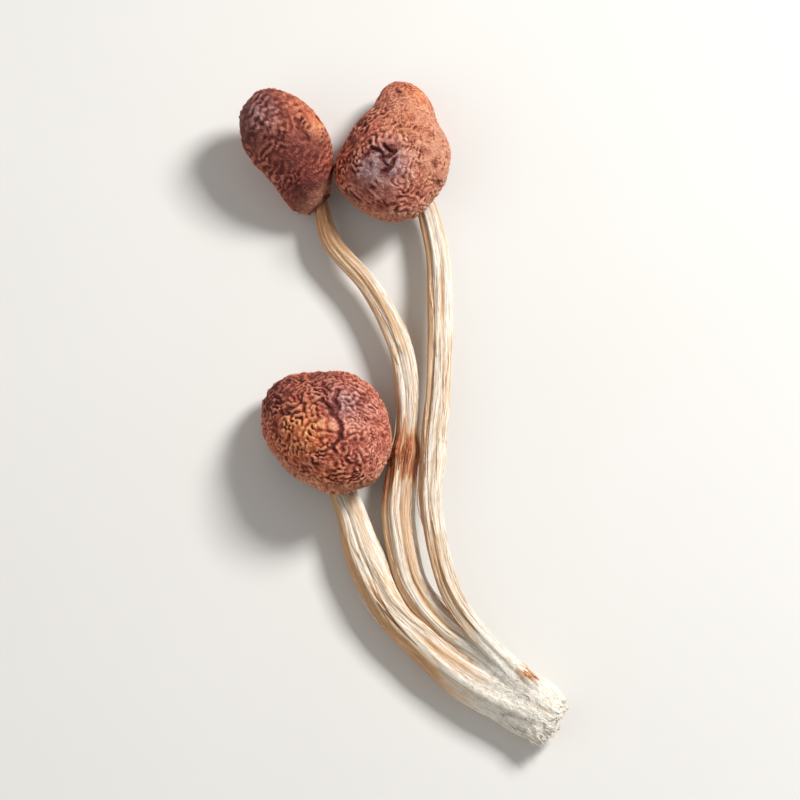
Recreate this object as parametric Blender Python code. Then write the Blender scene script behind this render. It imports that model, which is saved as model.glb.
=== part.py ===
"""A dried clump of three pioppino mushrooms.

Three long ribbed stems grow from one torn base and end in three wrinkled caps.
The clump lies on its side. +Z is up, the caps point to +Y, and the base lies toward -Y.
Sizes are written in millimetres and become metres through MM.
"""
import math

import bmesh
import bpy
from mathutils import Matrix, Vector, noise

MM = 0.001

# Moves the clump so that the middle of its box stands over the origin.
CENTRING = (0.75, -0.4, 0.0)

# Room left between pieces that touch in life.
CLEARANCE = 0.45

# Stems: each route runs from the torn base to the cap.
# A stop is x, y, z, half width and half thickness.
STEM_SIDES = 24
STEM_STEP = 3.8
ROUTE_SAMPLES = 40
LEFT_STEM = (
    (27.0, -61.7, 3.3, 4.6, 3.7),
    (22.0, -58.9, 3.3, 4.4, 3.6),
    (16.1, -55.9, 3.4, 4.1, 3.2),
    (9.6, -51.6, 3.5, 3.8, 2.9),
    (3.2, -45.6, 3.7, 3.5, 2.7),
    (-2.7, -39.2, 3.8, 3.3, 2.5),
    (-7.3, -29.5, 4.0, 3.4, 2.4),
    (-9.8, -21.0, 4.0, 2.9, 2.2),
    (-12.2, -13.6, 3.6, 2.5, 2.1),
    (-13.6, -8.4, 4.3, 2.2, 2.0),
    (-14.1, -5.9, 8.2, 2.0, 2.0),
)
MIDDLE_STEM = (
    (25.8, -58.6, 4.4, 4.2, 3.6),
    (20.0, -53.8, 4.4, 3.4, 3.0),
    (14.5, -48.4, 4.2, 3.0, 2.5),
    (7.6, -43.2, 4.1, 2.9, 2.3),
    (1.6, -34.5, 4.0, 2.9, 2.2),
    (-1.0, -22.4, 4.0, 3.1, 2.3),
    (-0.6, -13.6, 4.2, 2.9, 2.2),
    (0.5, -5.4, 4.4, 2.2, 1.9),
    (0.6, 3.9, 4.4, 2.3, 1.9),
    (-1.0, 13.4, 4.3, 2.3, 1.8),
    (-6.4, 24.6, 4.3, 2.0, 1.7),
    (-13.6, 33.6, 4.3, 1.8, 1.6),
    (-15.8, 41.2, 4.6, 1.4, 1.3),
    (-18.1, 46.7, 6.0, 1.25, 1.2),
    (-20.6, 50.4, 7.1, 1.1, 1.1),
)
RIGHT_STEM = (
    (26.4, -58.4, 4.8, 3.6, 3.2),
    (23.6, -55.6, 5.4, 2.8, 2.6),
    (19.3, -51.2, 6.0, 2.2, 2.0),
    (13.6, -45.0, 6.6, 1.9, 1.8),
    (8.2, -35.8, 7.0, 2.0, 1.8),
    (5.2, -21.6, 6.8, 2.1, 1.8),
    (5.2, -11.4, 6.6, 2.3, 1.9),
    (6.3, 2.0, 6.2, 2.4, 1.9),
    (6.8, 12.4, 5.8, 2.4, 1.9),
    (6.8, 22.6, 5.2, 2.4, 1.8),
    (6.2, 32.0, 4.6, 2.2, 1.8),
    (4.3, 40.4, 4.2, 2.0, 1.7),
    (1.4, 46.0, 4.9, 1.9, 1.7),
    (0.4, 48.1, 8.6, 1.8, 1.7),
)

LEFT_SEED = 2.2
MIDDLE_SEED = 1.3
RIGHT_SEED = 4.1

# Ribs: how many, their depth as a share of the radius, and how they wander round the stem
# with the distance along it.
STEM_RIBS = 6
RIB_DEPTH = 0.19
RIB_SWELL = 0.23
RIB_TWIST = 0.35
RIB_DRIFT = 26.0
RIB_QUIVER = 11.0
RIB_LOWEST = 0.45
RIB_UNEVEN = 0.9
UNEVEN_ROUND = 3.0
UNEVEN_ALONG = 9.0

# The shrivelled ring on the middle stem: distance from the base, height and half length.
RING_AT = 61.0
RING_RISE = 0.55
RING_SPREAD = 2.2

# The torn base: how far its fibres stick out, how many tufts they form, how much narrower
# the end is, and how deep its middle lies.
FRAY_LENGTH = 0.7
FRAY_MEAN = 0.3
FRAY_TUFTS = 5
TORN_NARROWING = 0.88
TORN_RIM = 1.1
BASE_DISH = 1.2

# Caps: each is turned round its own axis. The net of wrinkles stands up between staggered pits,
# which are on every second row and every second spoke of the skin.
CAP_SEGMENTS = 56
DOME_BANDS = 13
PIT_DEPTH = 0.9
PIT_UNEVEN = 0.25
# Rows nearer the top than this have shallower pits, because the spokes crowd there.
CROWDED_ROWS = 5
NET_WANDER = 0.55
WANDER_PITCH = 3.0
LUMP_PITCH = 8.0
LUMP_HEIGHT = 1.1
# The relief fades out over one row in this many of the lip's, toward its lowest edge.
FADE_PART = 4
BEND_POWER = 1.5
# The lip's wall, as a share of the radius, and how soon it is reached above the lowest edge.
LIP_WALL = 0.12
WALL_POWER = 0.25

# Gills: blades of one thickness raised under a thin ceiling. Their lower edges arch
# from the stem to the lip, as shares of the cap's gill depth.
GILL_CEILING = 0.8
GILL_THICKNESS = 0.65
GILL_SLOPE = 0.12
GILL_DROP_AT_STEM = 0.15
GILL_DROP_MIDWAY = 0.55
GILL_DROP_AT_LIP = 0.62
# The recess narrows to this share of the mouth at its ceiling.
RECESS_TAPER = 0.94

# Distances below this count as none.
TINY = 1e-6
MERGE = 1e-4

# Radii are given every thirty degrees. Dome, lip, recess and gill depth are heights from the
# rim's plane. Edge and mouth are shares of the radius. Squareness is 1 for a round dome and less
# for a boxy one. Taper is 1 for a round lip and more for a funnel, and bend is how far the lip's
# lowest edge is off the axis.
CAPS = {
    "left": {
        "centre": (-14.2, -5.6, 7.6),
        "axis": (-0.15, 0.42, 0.895),
        "radii": (11.9, 12.2, 13.0, 14.0, 14.6, 14.6, 12.4, 10.6, 10.8, 13.6, 15.0, 13.2),
        "dome": 8.6,
        "squareness": 1.0,
        "lip": 3.4,
        "lip_bands": 4,
        "taper": 1.0,
        "bend": (0.0, 0.0),
        "edge": 0.87,
        "mouth": 0.74,
        "recess": 2.0,
        "gill_depth": 3.4,
        "bore": 3.3,
        "gills": 18,
        "seed": 3.0,
    },
    "middle": {
        "centre": (-21.2, 51.6, 7.5),
        "axis": (-0.66, 0.70, 0.25),
        "radii": (7.4, 7.5, 7.6, 7.6, 7.5, 7.4, 7.2, 7.2, 7.3, 7.3, 7.3, 7.3),
        "dome": 12.0,
        "squareness": 0.85,
        "lip": 11.8,
        "lip_bands": 16,
        "taper": 1.6,
        "bend": (-3.3, -0.7),
        "edge": 0.38,
        "mouth": 0.60,
        "recess": 1.0,
        "gill_depth": 3.0,
        "bore": 1.8,
        "gills": 10,
        "seed": 11.0,
    },
    "right": {
        "centre": (0.3, 48.5, 8.2),
        "axis": (-0.12, 0.36, 0.925),
        "radii": (8.4, 8.9, 11.0, 17.8, 13.2, 12.2, 12.8, 13.6, 12.9, 12.6, 10.0, 8.8),
        "dome": 9.4,
        "squareness": 1.0,
        "lip": 3.6,
        "lip_bands": 4,
        "taper": 1.0,
        "bend": (0.0, 0.0),
        "edge": 0.85,
        "mouth": 0.70,
        "recess": 1.6,
        "gill_depth": 3.6,
        "bore": 2.7,
        "gills": 16,
        "seed": 23.0,
    },
}

# Colours as red, green, blue, with the roughness.
STEM_LOOK = (0.78, 0.62, 0.42, 0.75)
CAP_LOOK = (0.30, 0.10, 0.06, 0.62)
GILL_LOOK = (0.13, 0.055, 0.03, 0.80)

# The block under the table's surface that trims the low points flat.
TABLE_SIZE = 400.0


def clear_scene():
    """Remove the objects that Blender starts with."""
    for thing in list(bpy.data.objects):
        bpy.data.objects.remove(thing, do_unlink=True)


def new_collection(name):
    """Make a collection in the scene."""
    group = bpy.data.collections.new(name)
    bpy.context.scene.collection.children.link(group)
    return group


def plain_material(name, look):
    """Make a Principled material from red, green, blue and roughness."""
    material = bpy.data.materials.new(name)
    material.use_nodes = True
    shader = material.node_tree.nodes["Principled BSDF"]
    shader.inputs["Base Color"].default_value = (look[0], look[1], look[2], 1.0)
    shader.inputs["Roughness"].default_value = look[3]
    shader.inputs["Metallic"].default_value = 0.0
    return material


def mesh_object(name, bm, group, material):
    """Turn a bmesh in millimetres into a named object in metres."""
    bmesh.ops.translate(bm, vec=CENTRING, verts=bm.verts)
    bmesh.ops.scale(bm, vec=(MM, MM, MM), verts=bm.verts)
    bmesh.ops.recalc_face_normals(bm, faces=bm.faces)
    mesh = bpy.data.meshes.new(name)
    bm.to_mesh(mesh)
    bm.free()
    mesh.materials.append(material)
    thing = bpy.data.objects.new(name, mesh)
    group.objects.link(thing)
    return thing


def curve_value(stops, place):
    """Read a smooth curve through the stops at place, which counts stops."""
    last = len(stops) - 1
    first = min(int(place), last - 1)
    share = place - first
    before = stops[max(first - 1, 0)]
    start = stops[first]
    end = stops[first + 1]
    after = stops[min(first + 2, last)]
    values = []
    for a, b, c, d in zip(before, start, end, after):
        slope_in = 0.5 * (c - a)
        slope_out = 0.5 * (d - b)
        cubic = 2.0 * b - 2.0 * c + slope_in + slope_out
        square = 3.0 * (c - b) - 2.0 * slope_in - slope_out
        values.append(b + share * (slope_in + share * (square + share * cubic)))
    return values


def even_stations(stops):
    """Split a route into even stations, each with its distance along and its values."""
    count = ROUTE_SAMPLES * (len(stops) - 1)
    fine = [curve_value(stops, i / ROUTE_SAMPLES) for i in range(count + 1)]
    lengths = [0.0]
    for a, b in zip(fine, fine[1:]):
        lengths.append(lengths[-1] + (Vector(b[:3]) - Vector(a[:3])).length)
    steps = round(lengths[-1] / STEM_STEP)
    stations = []
    index = 0
    for i in range(steps + 1):
        target = lengths[-1] * i / steps - TINY
        while index < count and lengths[index] < target:
            index += 1
        stations.append((lengths[index], fine[index]))
    return stations


def heading(stations, i):
    """The direction of a route toward the cap at a station."""
    ahead = stations[min(i + 1, len(stations) - 1)][1]
    behind = stations[max(i - 1, 0)][1]
    return (Vector(ahead[:3]) - Vector(behind[:3])).normalized()


def rib_shape(angle, along, seed):
    """Height of the ribs round a stem, 0 in a groove and 1 on a rib."""
    drift = math.sin(along / RIB_DRIFT + seed) + 0.5 * math.sin(along / RIB_QUIVER + 2.0 * seed)
    wave = math.cos(0.5 * STEM_RIBS * (angle + RIB_TWIST * drift))
    spot = Vector((
        UNEVEN_ROUND * math.cos(angle), UNEVEN_ROUND * math.sin(angle), along / UNEVEN_ALONG + seed))
    uneven = 0.5 + 0.5 * noise.noise(spot)
    return abs(wave) * (RIB_LOWEST + RIB_UNEVEN * uneven)


def stem_radius(angle, along, half_width, half_thick, seed, ring_at):
    """Distance from a stem's middle to its ribbed skin."""
    flat = math.hypot(half_width * math.cos(angle), half_thick * math.sin(angle))
    ribs = 1.0 - RIB_DEPTH + RIB_SWELL * rib_shape(angle, along, seed)
    ring = 0.0
    if ring_at:
        ring = RING_RISE * math.exp(-((along - ring_at) / RING_SPREAD) ** 2)
    return flat * ribs + ring


def stem_point(stations, i, angle, seed, ring_at):
    """The place on a stem's skin at a station and an angle round it."""
    along, values = stations[i]
    ahead = heading(stations, i)
    up = (Vector((0.0, 0.0, 1.0)) - ahead * ahead.z).normalized()
    side = ahead.cross(up)
    reach = stem_radius(angle, along, values[3], values[4], seed, ring_at)
    middle = Vector(values[:3])
    if i == 0:
        reach *= TORN_NARROWING
        middle -= ahead * FRAY_LENGTH * (FRAY_MEAN + math.sin(FRAY_TUFTS * angle + seed))
    return middle + (side * math.cos(angle) + up * math.sin(angle)) * reach


def rolled_sheet(sides, steps, rule):
    """Roll a flat grid up into a closed tube; rule(side, step) gives each point's place."""
    bm = bmesh.new()
    bmesh.ops.create_grid(bm, x_segments=sides, y_segments=steps, size=1.0)
    for v in bm.verts:
        side = round(0.5 * (v.co.x + 1.0) * sides) % sides
        step = round(0.5 * (v.co.y + 1.0) * steps)
        v.co = rule(side, step)
    bmesh.ops.remove_doubles(bm, verts=[v for v in bm.verts if v.is_boundary], dist=MERGE)
    open_edges = [e for e in bm.edges if e.is_boundary]
    ends = bmesh.ops.holes_fill(bm, edges=open_edges, sides=sides)["faces"]
    return bm, ends


def ribbed_stem(stops, seed, ring_at=0.0):
    """One ribbed stem along its route, with a torn and dished end at the base."""
    stations = even_stations(stops)

    def rule(side, step):
        return stem_point(stations, step, 2.0 * math.pi * side / STEM_SIDES, seed, ring_at)

    bm, ends = rolled_sheet(STEM_SIDES, len(stations) - 1, rule)
    base = Vector(stations[0][1][:3])
    torn = min(ends, key=lambda face: (face.calc_center_median() - base).length)
    bmesh.ops.inset_region(bm, faces=[torn], thickness=TORN_RIM, depth=0.0, use_even_offset=True)
    for v in torn.verts:
        v.co += heading(stations, 0) * BASE_DISH
    bmesh.ops.triangulate(bm, faces=bm.faces)
    return bm


def stem_clump(group, material):
    """Three stems fused at the torn base by one union."""
    pieces = bpy.data.collections.new("stem_pieces")
    bpy.context.scene.collection.children.link(pieces)
    mesh_object("stem_middle_part", ribbed_stem(MIDDLE_STEM, MIDDLE_SEED, RING_AT), pieces, material)
    mesh_object("stem_right_part", ribbed_stem(RIGHT_STEM, RIGHT_SEED), pieces, material)
    clump = mesh_object("stems", ribbed_stem(LEFT_STEM, LEFT_SEED), group, material)
    union = clump.modifiers.new("union", "BOOLEAN")
    union.operation = "UNION"
    union.solver = "EXACT"
    union.operand_type = "COLLECTION"
    union.collection = pieces
    apply_modifiers(clump)
    for thing in list(pieces.objects):
        bpy.data.objects.remove(thing, do_unlink=True)
    bpy.data.collections.remove(pieces)
    return clump


def apply_modifiers(thing):
    """Keep the mesh that the modifiers give and remove them."""
    graph = bpy.context.evaluated_depsgraph_get()
    mesh = bpy.data.meshes.new_from_object(thing.evaluated_get(graph))
    thing.modifiers.clear()
    old = thing.data
    thing.data = mesh
    bpy.data.meshes.remove(old)


def cap_frame(cap):
    """The matrix that carries a cap from its own axis to its place."""
    axis = Vector(cap["axis"]).normalized()
    right = (Vector((1.0, 0.0, 0.0)) - axis * axis.x).normalized()
    away = axis.cross(right)
    turn = Matrix((right, away, axis)).transposed().to_4x4()
    return Matrix.Translation(Vector(cap["centre"])) @ turn


def rim_radius(cap, angle):
    """The cap's outline at an angle, smooth through its radii."""
    radii = cap["radii"]
    count = len(radii)
    wrapped = [(radii[i % count],) for i in range(-1, count + 2)]
    place = (angle / (2.0 * math.pi)) % 1.0 * count
    return curve_value(wrapped, place + 1.0)[0]


def lip_reach(cap, turn):
    """Radius share of the lip: in to its lowest edge on the outside, then up its inner wall."""
    swing = abs(math.cos(turn))
    if turn < 0.5 * math.pi:
        return cap["edge"] + (1.0 - cap["edge"]) * swing ** cap["taper"]
    wall = LIP_WALL * swing ** WALL_POWER
    return cap["edge"] - wall + (cap["mouth"] + LIP_WALL - cap["edge"]) * swing ** 2


def cap_profile(cap):
    """Radius share and height from the top of the dome to the middle of the recess."""
    points = []
    for i in range(DOME_BANDS + 1):
        turn = 0.5 * math.pi * i / DOME_BANDS
        reach = math.sin(turn) ** cap["squareness"]
        points.append((reach, cap["dome"] * max(0.0, math.cos(turn)) ** cap["squareness"]))
    for i in range(1, cap["lip_bands"] + 1):
        turn = math.pi * i / cap["lip_bands"]
        points.append((lip_reach(cap, turn), -cap["lip"] * math.sin(turn)))
    points.append((RECESS_TAPER * cap["mouth"], cap["recess"]))
    points.append((0.0, cap["recess"]))
    return points


def spun_profile(profile, steps):
    """Spin a profile in the XZ plane round Z into a closed skin; each point keeps its row."""
    bm = bmesh.new()
    row = bm.verts.layers.int.new("row")
    verts = [bm.verts.new((radius, 0.0, height)) for radius, height in profile]
    for i, v in enumerate(verts):
        v[row] = i
    for a, b in zip(verts, verts[1:]):
        bm.edges.new((a, b))
    bmesh.ops.spin(
        bm, geom=bm.verts[:] + bm.edges[:], cent=(0, 0, 0), axis=(0, 0, 1),
        dvec=(0, 0, 0), angle=2.0 * math.pi, steps=steps, use_merge=True)
    bmesh.ops.remove_doubles(bm, verts=bm.verts, dist=MERGE)
    return bm, row


def put_in_place(bm, cap):
    """Bend what hangs below the rim's plane and carry a cap's piece to its place."""
    for v in bm.verts:
        if v.co.z < 0.0:
            share = (-v.co.z / cap["lip"]) ** BEND_POWER
            v.co.x += cap["bend"][0] * share
            v.co.y += cap["bend"][1] * share
    bmesh.ops.transform(bm, matrix=cap_frame(cap), verts=bm.verts)


def pit_depth(row, spoke, place, seed):
    """How far the skin sinks between the strands of the raised net."""
    is_pit = row % 2 == 1 and (spoke + row // 2) % 2 == 0
    if not is_pit:
        return 0.0
    spot = place / WANDER_PITCH + Vector((0.0, seed, 0.0))
    crowding = min(1.0, row / CROWDED_ROWS)
    return PIT_DEPTH * crowding * (1.0 - PIT_UNEVEN + 2.0 * PIT_UNEVEN * noise.noise(spot))


def relief_share(cap, row):
    """How much of the relief a row takes: less toward the lip's edge, none in the recess."""
    rows_left = DOME_BANDS + cap["lip_bands"] // 2 + 1 - row
    return max(0.0, min(1.0, rows_left / (cap["lip_bands"] // FADE_PART + 1)))


def skin_move(v, row, spoke, seed):
    """How a point of the skin moves: with the lumps, into the pits and sideways."""
    lump = LUMP_HEIGHT * noise.noise(v.co / LUMP_PITCH + Vector((seed, 0.0, 0.0)))
    slide = NET_WANDER * noise.noise_vector(v.co / WANDER_PITCH - Vector((seed, 0.0, 0.0)))
    slide -= v.normal * slide.dot(v.normal)
    return v.normal * (lump - pit_depth(row, spoke, v.co, seed)) + slide


def wrinkled_cap(name, cap, group, material):
    """A dried cap: a lopsided dome with a rolled lip, lumps and a raised net."""
    bm, row = spun_profile(cap_profile(cap), CAP_SEGMENTS)
    spokes = []
    for v in bm.verts:
        angle = math.atan2(v.co.y, v.co.x)
        reach = math.hypot(v.co.x, v.co.y) * rim_radius(cap, angle)
        v.co = Vector((reach * math.cos(angle), reach * math.sin(angle), v.co.z))
        spokes.append(round(angle / (2.0 * math.pi) * CAP_SEGMENTS))
    bmesh.ops.recalc_face_normals(bm, faces=bm.faces)
    bm.normal_update()
    moves = [
        skin_move(v, v[row], spoke, cap["seed"]) * relief_share(cap, v[row])
        for v, spoke in zip(bm.verts, spokes)]
    for v, move in zip(bm.verts, moves):
        v.co += move
    bmesh.ops.triangulate(bm, faces=bm.faces)
    put_in_place(bm, cap)
    return mesh_object(name, bm, group, material)


def gill_profile(cap):
    """The section of a gill blade from the bore to the lip, its radius as a share of that way."""
    top = cap["recess"] - CLEARANCE
    depth = cap["gill_depth"]
    return (
        (0.0, top),
        (1.0, top),
        (1.0, -GILL_DROP_AT_LIP * depth),
        (0.5, -GILL_DROP_MIDWAY * depth),
        (0.0, -GILL_DROP_AT_STEM * depth),
        (0.0, top),
    )


def blade_turn(cap, angle, share, index):
    """The angle of a gill point, moved so that blades keep one thickness all the way out."""
    pitch = 2.0 * math.pi / cap["gills"]
    rim = rim_radius(cap, angle) * RECESS_TAPER * cap["mouth"]
    reach = cap["bore"] + share * (rim - cap["bore"])
    half_blade = 0.5 * GILL_THICKNESS / reach
    half_gap = 0.5 * pitch - half_blade - GILL_SLOPE / reach
    on_blade = index % 4 < 2
    middle = pitch * (index // 4 + (0.25 if on_blade else 0.75))
    half_turn = half_blade if on_blade else half_gap
    return middle + (half_turn if index % 2 else -half_turn)


def gill_set(name, cap, group, material):
    """Blades that run out from the stem under a thin ceiling."""
    spokes = 4 * cap["gills"]
    valley = cap["recess"] - CLEARANCE - GILL_CEILING
    bm, row = spun_profile([(share + 1.0, height) for share, height in gill_profile(cap)], spokes)
    for v in bm.verts:
        angle = math.atan2(v.co.y, v.co.x) % (2.0 * math.pi)
        share = math.hypot(v.co.x, v.co.y) - 1.0
        index = round(angle / (2.0 * math.pi) * spokes) % spokes
        turn = blade_turn(cap, angle, share, index)
        rim = rim_radius(cap, turn) * RECESS_TAPER * cap["mouth"] - CLEARANCE
        reach = cap["bore"] + share * (rim - cap["bore"])
        height = v.co.z
        if index % 4 >= 2:
            height = max(height, valley)
        v.co = Vector((reach * math.cos(turn), reach * math.sin(turn), height))
    bmesh.ops.triangulate(bm, faces=bm.faces)
    put_in_place(bm, cap)
    return mesh_object(name, bm, group, material)


def table_cutter(group):
    """The space under the table's surface, which the low points are trimmed to."""
    bm = bmesh.new()
    bmesh.ops.create_cube(bm, size=TABLE_SIZE)
    bmesh.ops.translate(bm, vec=(0.0, 0.0, -0.5 * TABLE_SIZE), verts=bm.verts)
    bmesh.ops.scale(bm, vec=(MM, MM, MM), verts=bm.verts)
    mesh = bpy.data.meshes.new("table")
    bm.to_mesh(mesh)
    bm.free()
    table = bpy.data.objects.new("table", mesh)
    table.hide_render = True
    table.display_type = "WIRE"
    group.objects.link(table)
    return table


def trim_low_points(thing, table):
    """Cut what dips below the table's surface flat, so that the piece rests on it."""
    trim = thing.modifiers.new("trim", "BOOLEAN")
    trim.operation = "DIFFERENCE"
    trim.solver = "EXACT"
    trim.object = table


def build():
    """Build the clump from its stems, caps and gills."""
    clear_scene()
    clump = new_collection("pioppino_clump")
    cutters = new_collection("cutters")
    stem_skin = plain_material("dried_stem", STEM_LOOK)
    cap_skin = plain_material("dried_cap", CAP_LOOK)
    gill_skin = plain_material("dried_gills", GILL_LOOK)
    table = table_cutter(cutters)
    trim_low_points(stem_clump(clump, stem_skin), table)
    for place, cap in CAPS.items():
        trim_low_points(wrinkled_cap("cap_" + place, cap, clump, cap_skin), table)
        gill_set("gills_" + place, cap, clump, gill_skin)


build()
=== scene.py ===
# %% [markdown]
# # A dried clump of three pioppino mushrooms
# The real thing is one clump: three long ribbed stems grew from one base, and each ends in a cap
# that wrinkled as it dried. The packed model holds its pieces at their real size. This lesson
# models a finer piece over each packed one and gives every surface its finish.

# %% Load the packed model
import functools
import math

import bmesh
import bpy
import numpy as np
from mathutils import Matrix, Vector, noise


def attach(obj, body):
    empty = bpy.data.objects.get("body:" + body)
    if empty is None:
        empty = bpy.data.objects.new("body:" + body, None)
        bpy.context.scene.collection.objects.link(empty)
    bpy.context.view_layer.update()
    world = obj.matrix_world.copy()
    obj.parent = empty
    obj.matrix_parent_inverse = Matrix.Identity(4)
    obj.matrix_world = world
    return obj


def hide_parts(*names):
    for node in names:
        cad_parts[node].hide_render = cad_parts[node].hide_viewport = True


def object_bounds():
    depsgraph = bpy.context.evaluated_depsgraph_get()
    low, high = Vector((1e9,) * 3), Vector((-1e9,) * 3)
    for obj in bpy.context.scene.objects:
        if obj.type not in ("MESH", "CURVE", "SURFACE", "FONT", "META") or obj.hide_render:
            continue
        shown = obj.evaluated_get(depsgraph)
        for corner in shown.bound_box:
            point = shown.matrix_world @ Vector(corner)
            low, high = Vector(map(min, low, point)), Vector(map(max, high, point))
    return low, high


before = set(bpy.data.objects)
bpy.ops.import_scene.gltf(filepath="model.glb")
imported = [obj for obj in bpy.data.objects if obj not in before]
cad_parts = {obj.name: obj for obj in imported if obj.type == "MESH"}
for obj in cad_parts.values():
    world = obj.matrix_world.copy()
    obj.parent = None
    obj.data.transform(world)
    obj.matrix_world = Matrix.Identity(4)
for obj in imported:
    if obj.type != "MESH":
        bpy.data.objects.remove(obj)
cad_low, cad_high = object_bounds()
print("packed pieces:", sorted(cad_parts))
print("packed size in mm:", [round(1000.0 * side, 1) for side in cad_high - cad_low])

# %% [markdown]
# ## The camera
# The photo looks down on the clump from about seventy degrees above the table. A long lens from
# far away keeps the sizes true, because a near camera would swell the caps that are closest.

# %% Camera
VIEW_ELEVATION = math.radians(70.0)
VIEW_HEIGHT = 0.150
VIEW_DISTANCE = 2.4
SENSOR_WIDTH = 36.0
NEAR_CLIP = 0.01


def put_in_scene(name, data):
    """Make an object of that name from its data and show it in the scene."""
    thing = bpy.data.objects.new(name, data)
    bpy.context.scene.collection.objects.link(thing)
    return thing


def add_camera():
    """Make the camera that looks down on the middle of the clump."""
    lens = bpy.data.cameras.new("camera")
    lens.sensor_width = SENSOR_WIDTH
    lens.lens = SENSOR_WIDTH * VIEW_DISTANCE / VIEW_HEIGHT
    lens.clip_start = NEAR_CLIP
    camera = put_in_scene("camera", lens)
    back = Vector((0.0, -math.cos(VIEW_ELEVATION), math.sin(VIEW_ELEVATION)))
    camera.location = 0.5 * (cad_low + cad_high) + back * VIEW_DISTANCE
    camera.rotation_euler = (0.5 * math.pi - VIEW_ELEVATION, 0.0, 0.0)
    bpy.context.scene.camera = camera
    return camera


camera = add_camera()
print("camera at", [round(value, 3) for value in camera.location])

# %% [markdown]
# ## The light
# Soft studio light comes from large lamps. The brighter lamp stands up and to the right, so that
# it rakes over the wrinkles and leaves their left sides in shade. A wide, weak lamp on the
# other side keeps those shades open, and the pale surroundings fill what is left.

# %% Light
KEY_PLACE, KEY_SIZE, KEY_POWER = (0.50, 0.36, 0.56), 0.24, 8.6
FILL_PLACE, FILL_SIZE, FILL_POWER = (-0.60, -0.25, 0.55), 0.9, 1.8
SKY_COLOUR = (1.0, 0.985, 0.96, 1.0)
SKY_BRIGHTNESS = 0.29


def add_lamp(name, place, size, power):
    """Make a square lamp that faces the clump."""
    lamp = bpy.data.lights.new(name, "AREA")
    lamp.size = size
    lamp.energy = power
    holder = put_in_scene(name, lamp)
    holder.location = place
    holder.rotation_euler = (-Vector(place)).to_track_quat("-Z", "Y").to_euler()


def add_surroundings(brightness):
    """Light everything evenly from a pale sky."""
    world = bpy.data.worlds.new("studio")
    world.use_nodes = True
    sky = world.node_tree.nodes["Background"]
    sky.inputs["Color"].default_value = SKY_COLOUR
    sky.inputs["Strength"].default_value = brightness
    bpy.context.scene.world = world


add_lamp("key", KEY_PLACE, KEY_SIZE, KEY_POWER)
add_lamp("fill", FILL_PLACE, FILL_SIZE, FILL_POWER)
add_surroundings(SKY_BRIGHTNESS)
bpy.context.scene.view_settings.view_transform = "Standard"

# %% [markdown]
# ## Values on their way to a shader
# A finish is a net of shader nodes. Written out node by node it is hard to read, so two small
# classes help. The first is a Wire: one value on its way to the shader. Sums on it add Math
# nodes, also when the plain number stands first, as in 1 - mask.

# %% Wire
class Wire:
    """One value on its way to the shader."""

    def __init__(self, finish, socket):
        self.finish = finish
        self.socket = socket

    def reckon(self, operation, first, second):
        return self.finish.node("ShaderNodeMath", {"operation": operation}, {0: first, 1: second})

    def __add__(self, other):
        return self.reckon("ADD", self, other)

    def __radd__(self, other):
        return self.reckon("ADD", other, self)

    def __sub__(self, other):
        return self.reckon("SUBTRACT", self, other)

    def __rsub__(self, other):
        return self.reckon("SUBTRACT", other, self)

    def __mul__(self, other):
        return self.reckon("MULTIPLY", self, other)

    def __rmul__(self, other):
        return self.reckon("MULTIPLY", other, self)

    def between(self, low, high):
        """0 at low and below, 1 at high and above."""
        return self.finish.node(
            "ShaderNodeMapRange", {"clamp": True}, {"Value": self, "From Min": low, "From Max": high})


print("sums with the plain number first:", [name for name in vars(Wire) if name.startswith("__r")])

# %% [markdown]
# ## Writing a finish
# The second class is a Finish: a material whose look is worked out by nodes. Its method node
# adds a node of any kind, sets it up, feeds its sockets and hands back a Wire. The others are
# short names for the nodes that nearly every finish here needs.

# %% Finish
MIX_FACTOR, MIX_FIRST, MIX_SECOND, MIX_COLOUR = 0, 6, 7, 2
ATTRIBUTE_VECTOR, ATTRIBUTE_VALUE = 1, 2
OBJECT_PLACE = 3


class Finish:
    """A material whose look is worked out by nodes."""

    def __init__(self, name):
        self.material = bpy.data.materials.new(name)
        self.material.use_nodes = True
        self.tree = self.material.node_tree
        self.shader = self.tree.nodes["Principled BSDF"]

    def feed(self, socket, value):
        """Link a wire to a socket, or set a plain value on it."""
        if isinstance(value, Wire):
            self.tree.links.new(value.socket, socket)
        else:
            socket.default_value = value

    def paint(self, colour, roughness, gloss):
        """Set what every finish here sets: its colour, its roughness and how much it shines."""
        self.feed(self.shader.inputs["Base Color"], colour)
        self.feed(self.shader.inputs["Roughness"], roughness)
        self.feed(self.shader.inputs["Specular IOR Level"], gloss)

    def node(self, kind, settings, inputs, output=0):
        """Add a node, set it up, feed its sockets and return one of its outputs."""
        made = self.tree.nodes.new(kind)
        for name, value in settings.items():
            setattr(made, name, value)
        for name, value in inputs.items():
            self.feed(made.inputs[name], value)
        return Wire(self, made.outputs[output])

    def attribute(self, name, output=ATTRIBUTE_VALUE):
        """Read a value that the mesh keeps at its vertices."""
        return self.node("ShaderNodeAttribute", {"attribute_name": name}, {}, output)

    def place(self):
        """The place on the piece, in metres."""
        return self.node("ShaderNodeTexCoord", {}, {}, OBJECT_PLACE)

    def noise(self, place, size, detail=3.0, roughness=0.55, distortion=0.0):
        """Soft noise between 0 and 1 whose lumps are about size apart."""
        return self.node("ShaderNodeTexNoise", {}, {
            "Vector": place, "Scale": 1.0 / size, "Detail": detail,
            "Roughness": roughness, "Distortion": distortion})

    def blend(self, first, second, share):
        """Mix two colours."""
        return self.node("ShaderNodeMix", {"data_type": "RGBA"}, {
            MIX_FACTOR: share, MIX_FIRST: first, MIX_SECOND: second}, MIX_COLOUR)

    def bump(self, height, depth, under=None):
        """Turn a height between 0 and 1 into small relief of that depth in metres."""
        inputs = {"Height": height, "Distance": depth}
        if under is not None:
            inputs["Normal"] = under
        return self.node("ShaderNodeBump", {}, inputs)


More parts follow.
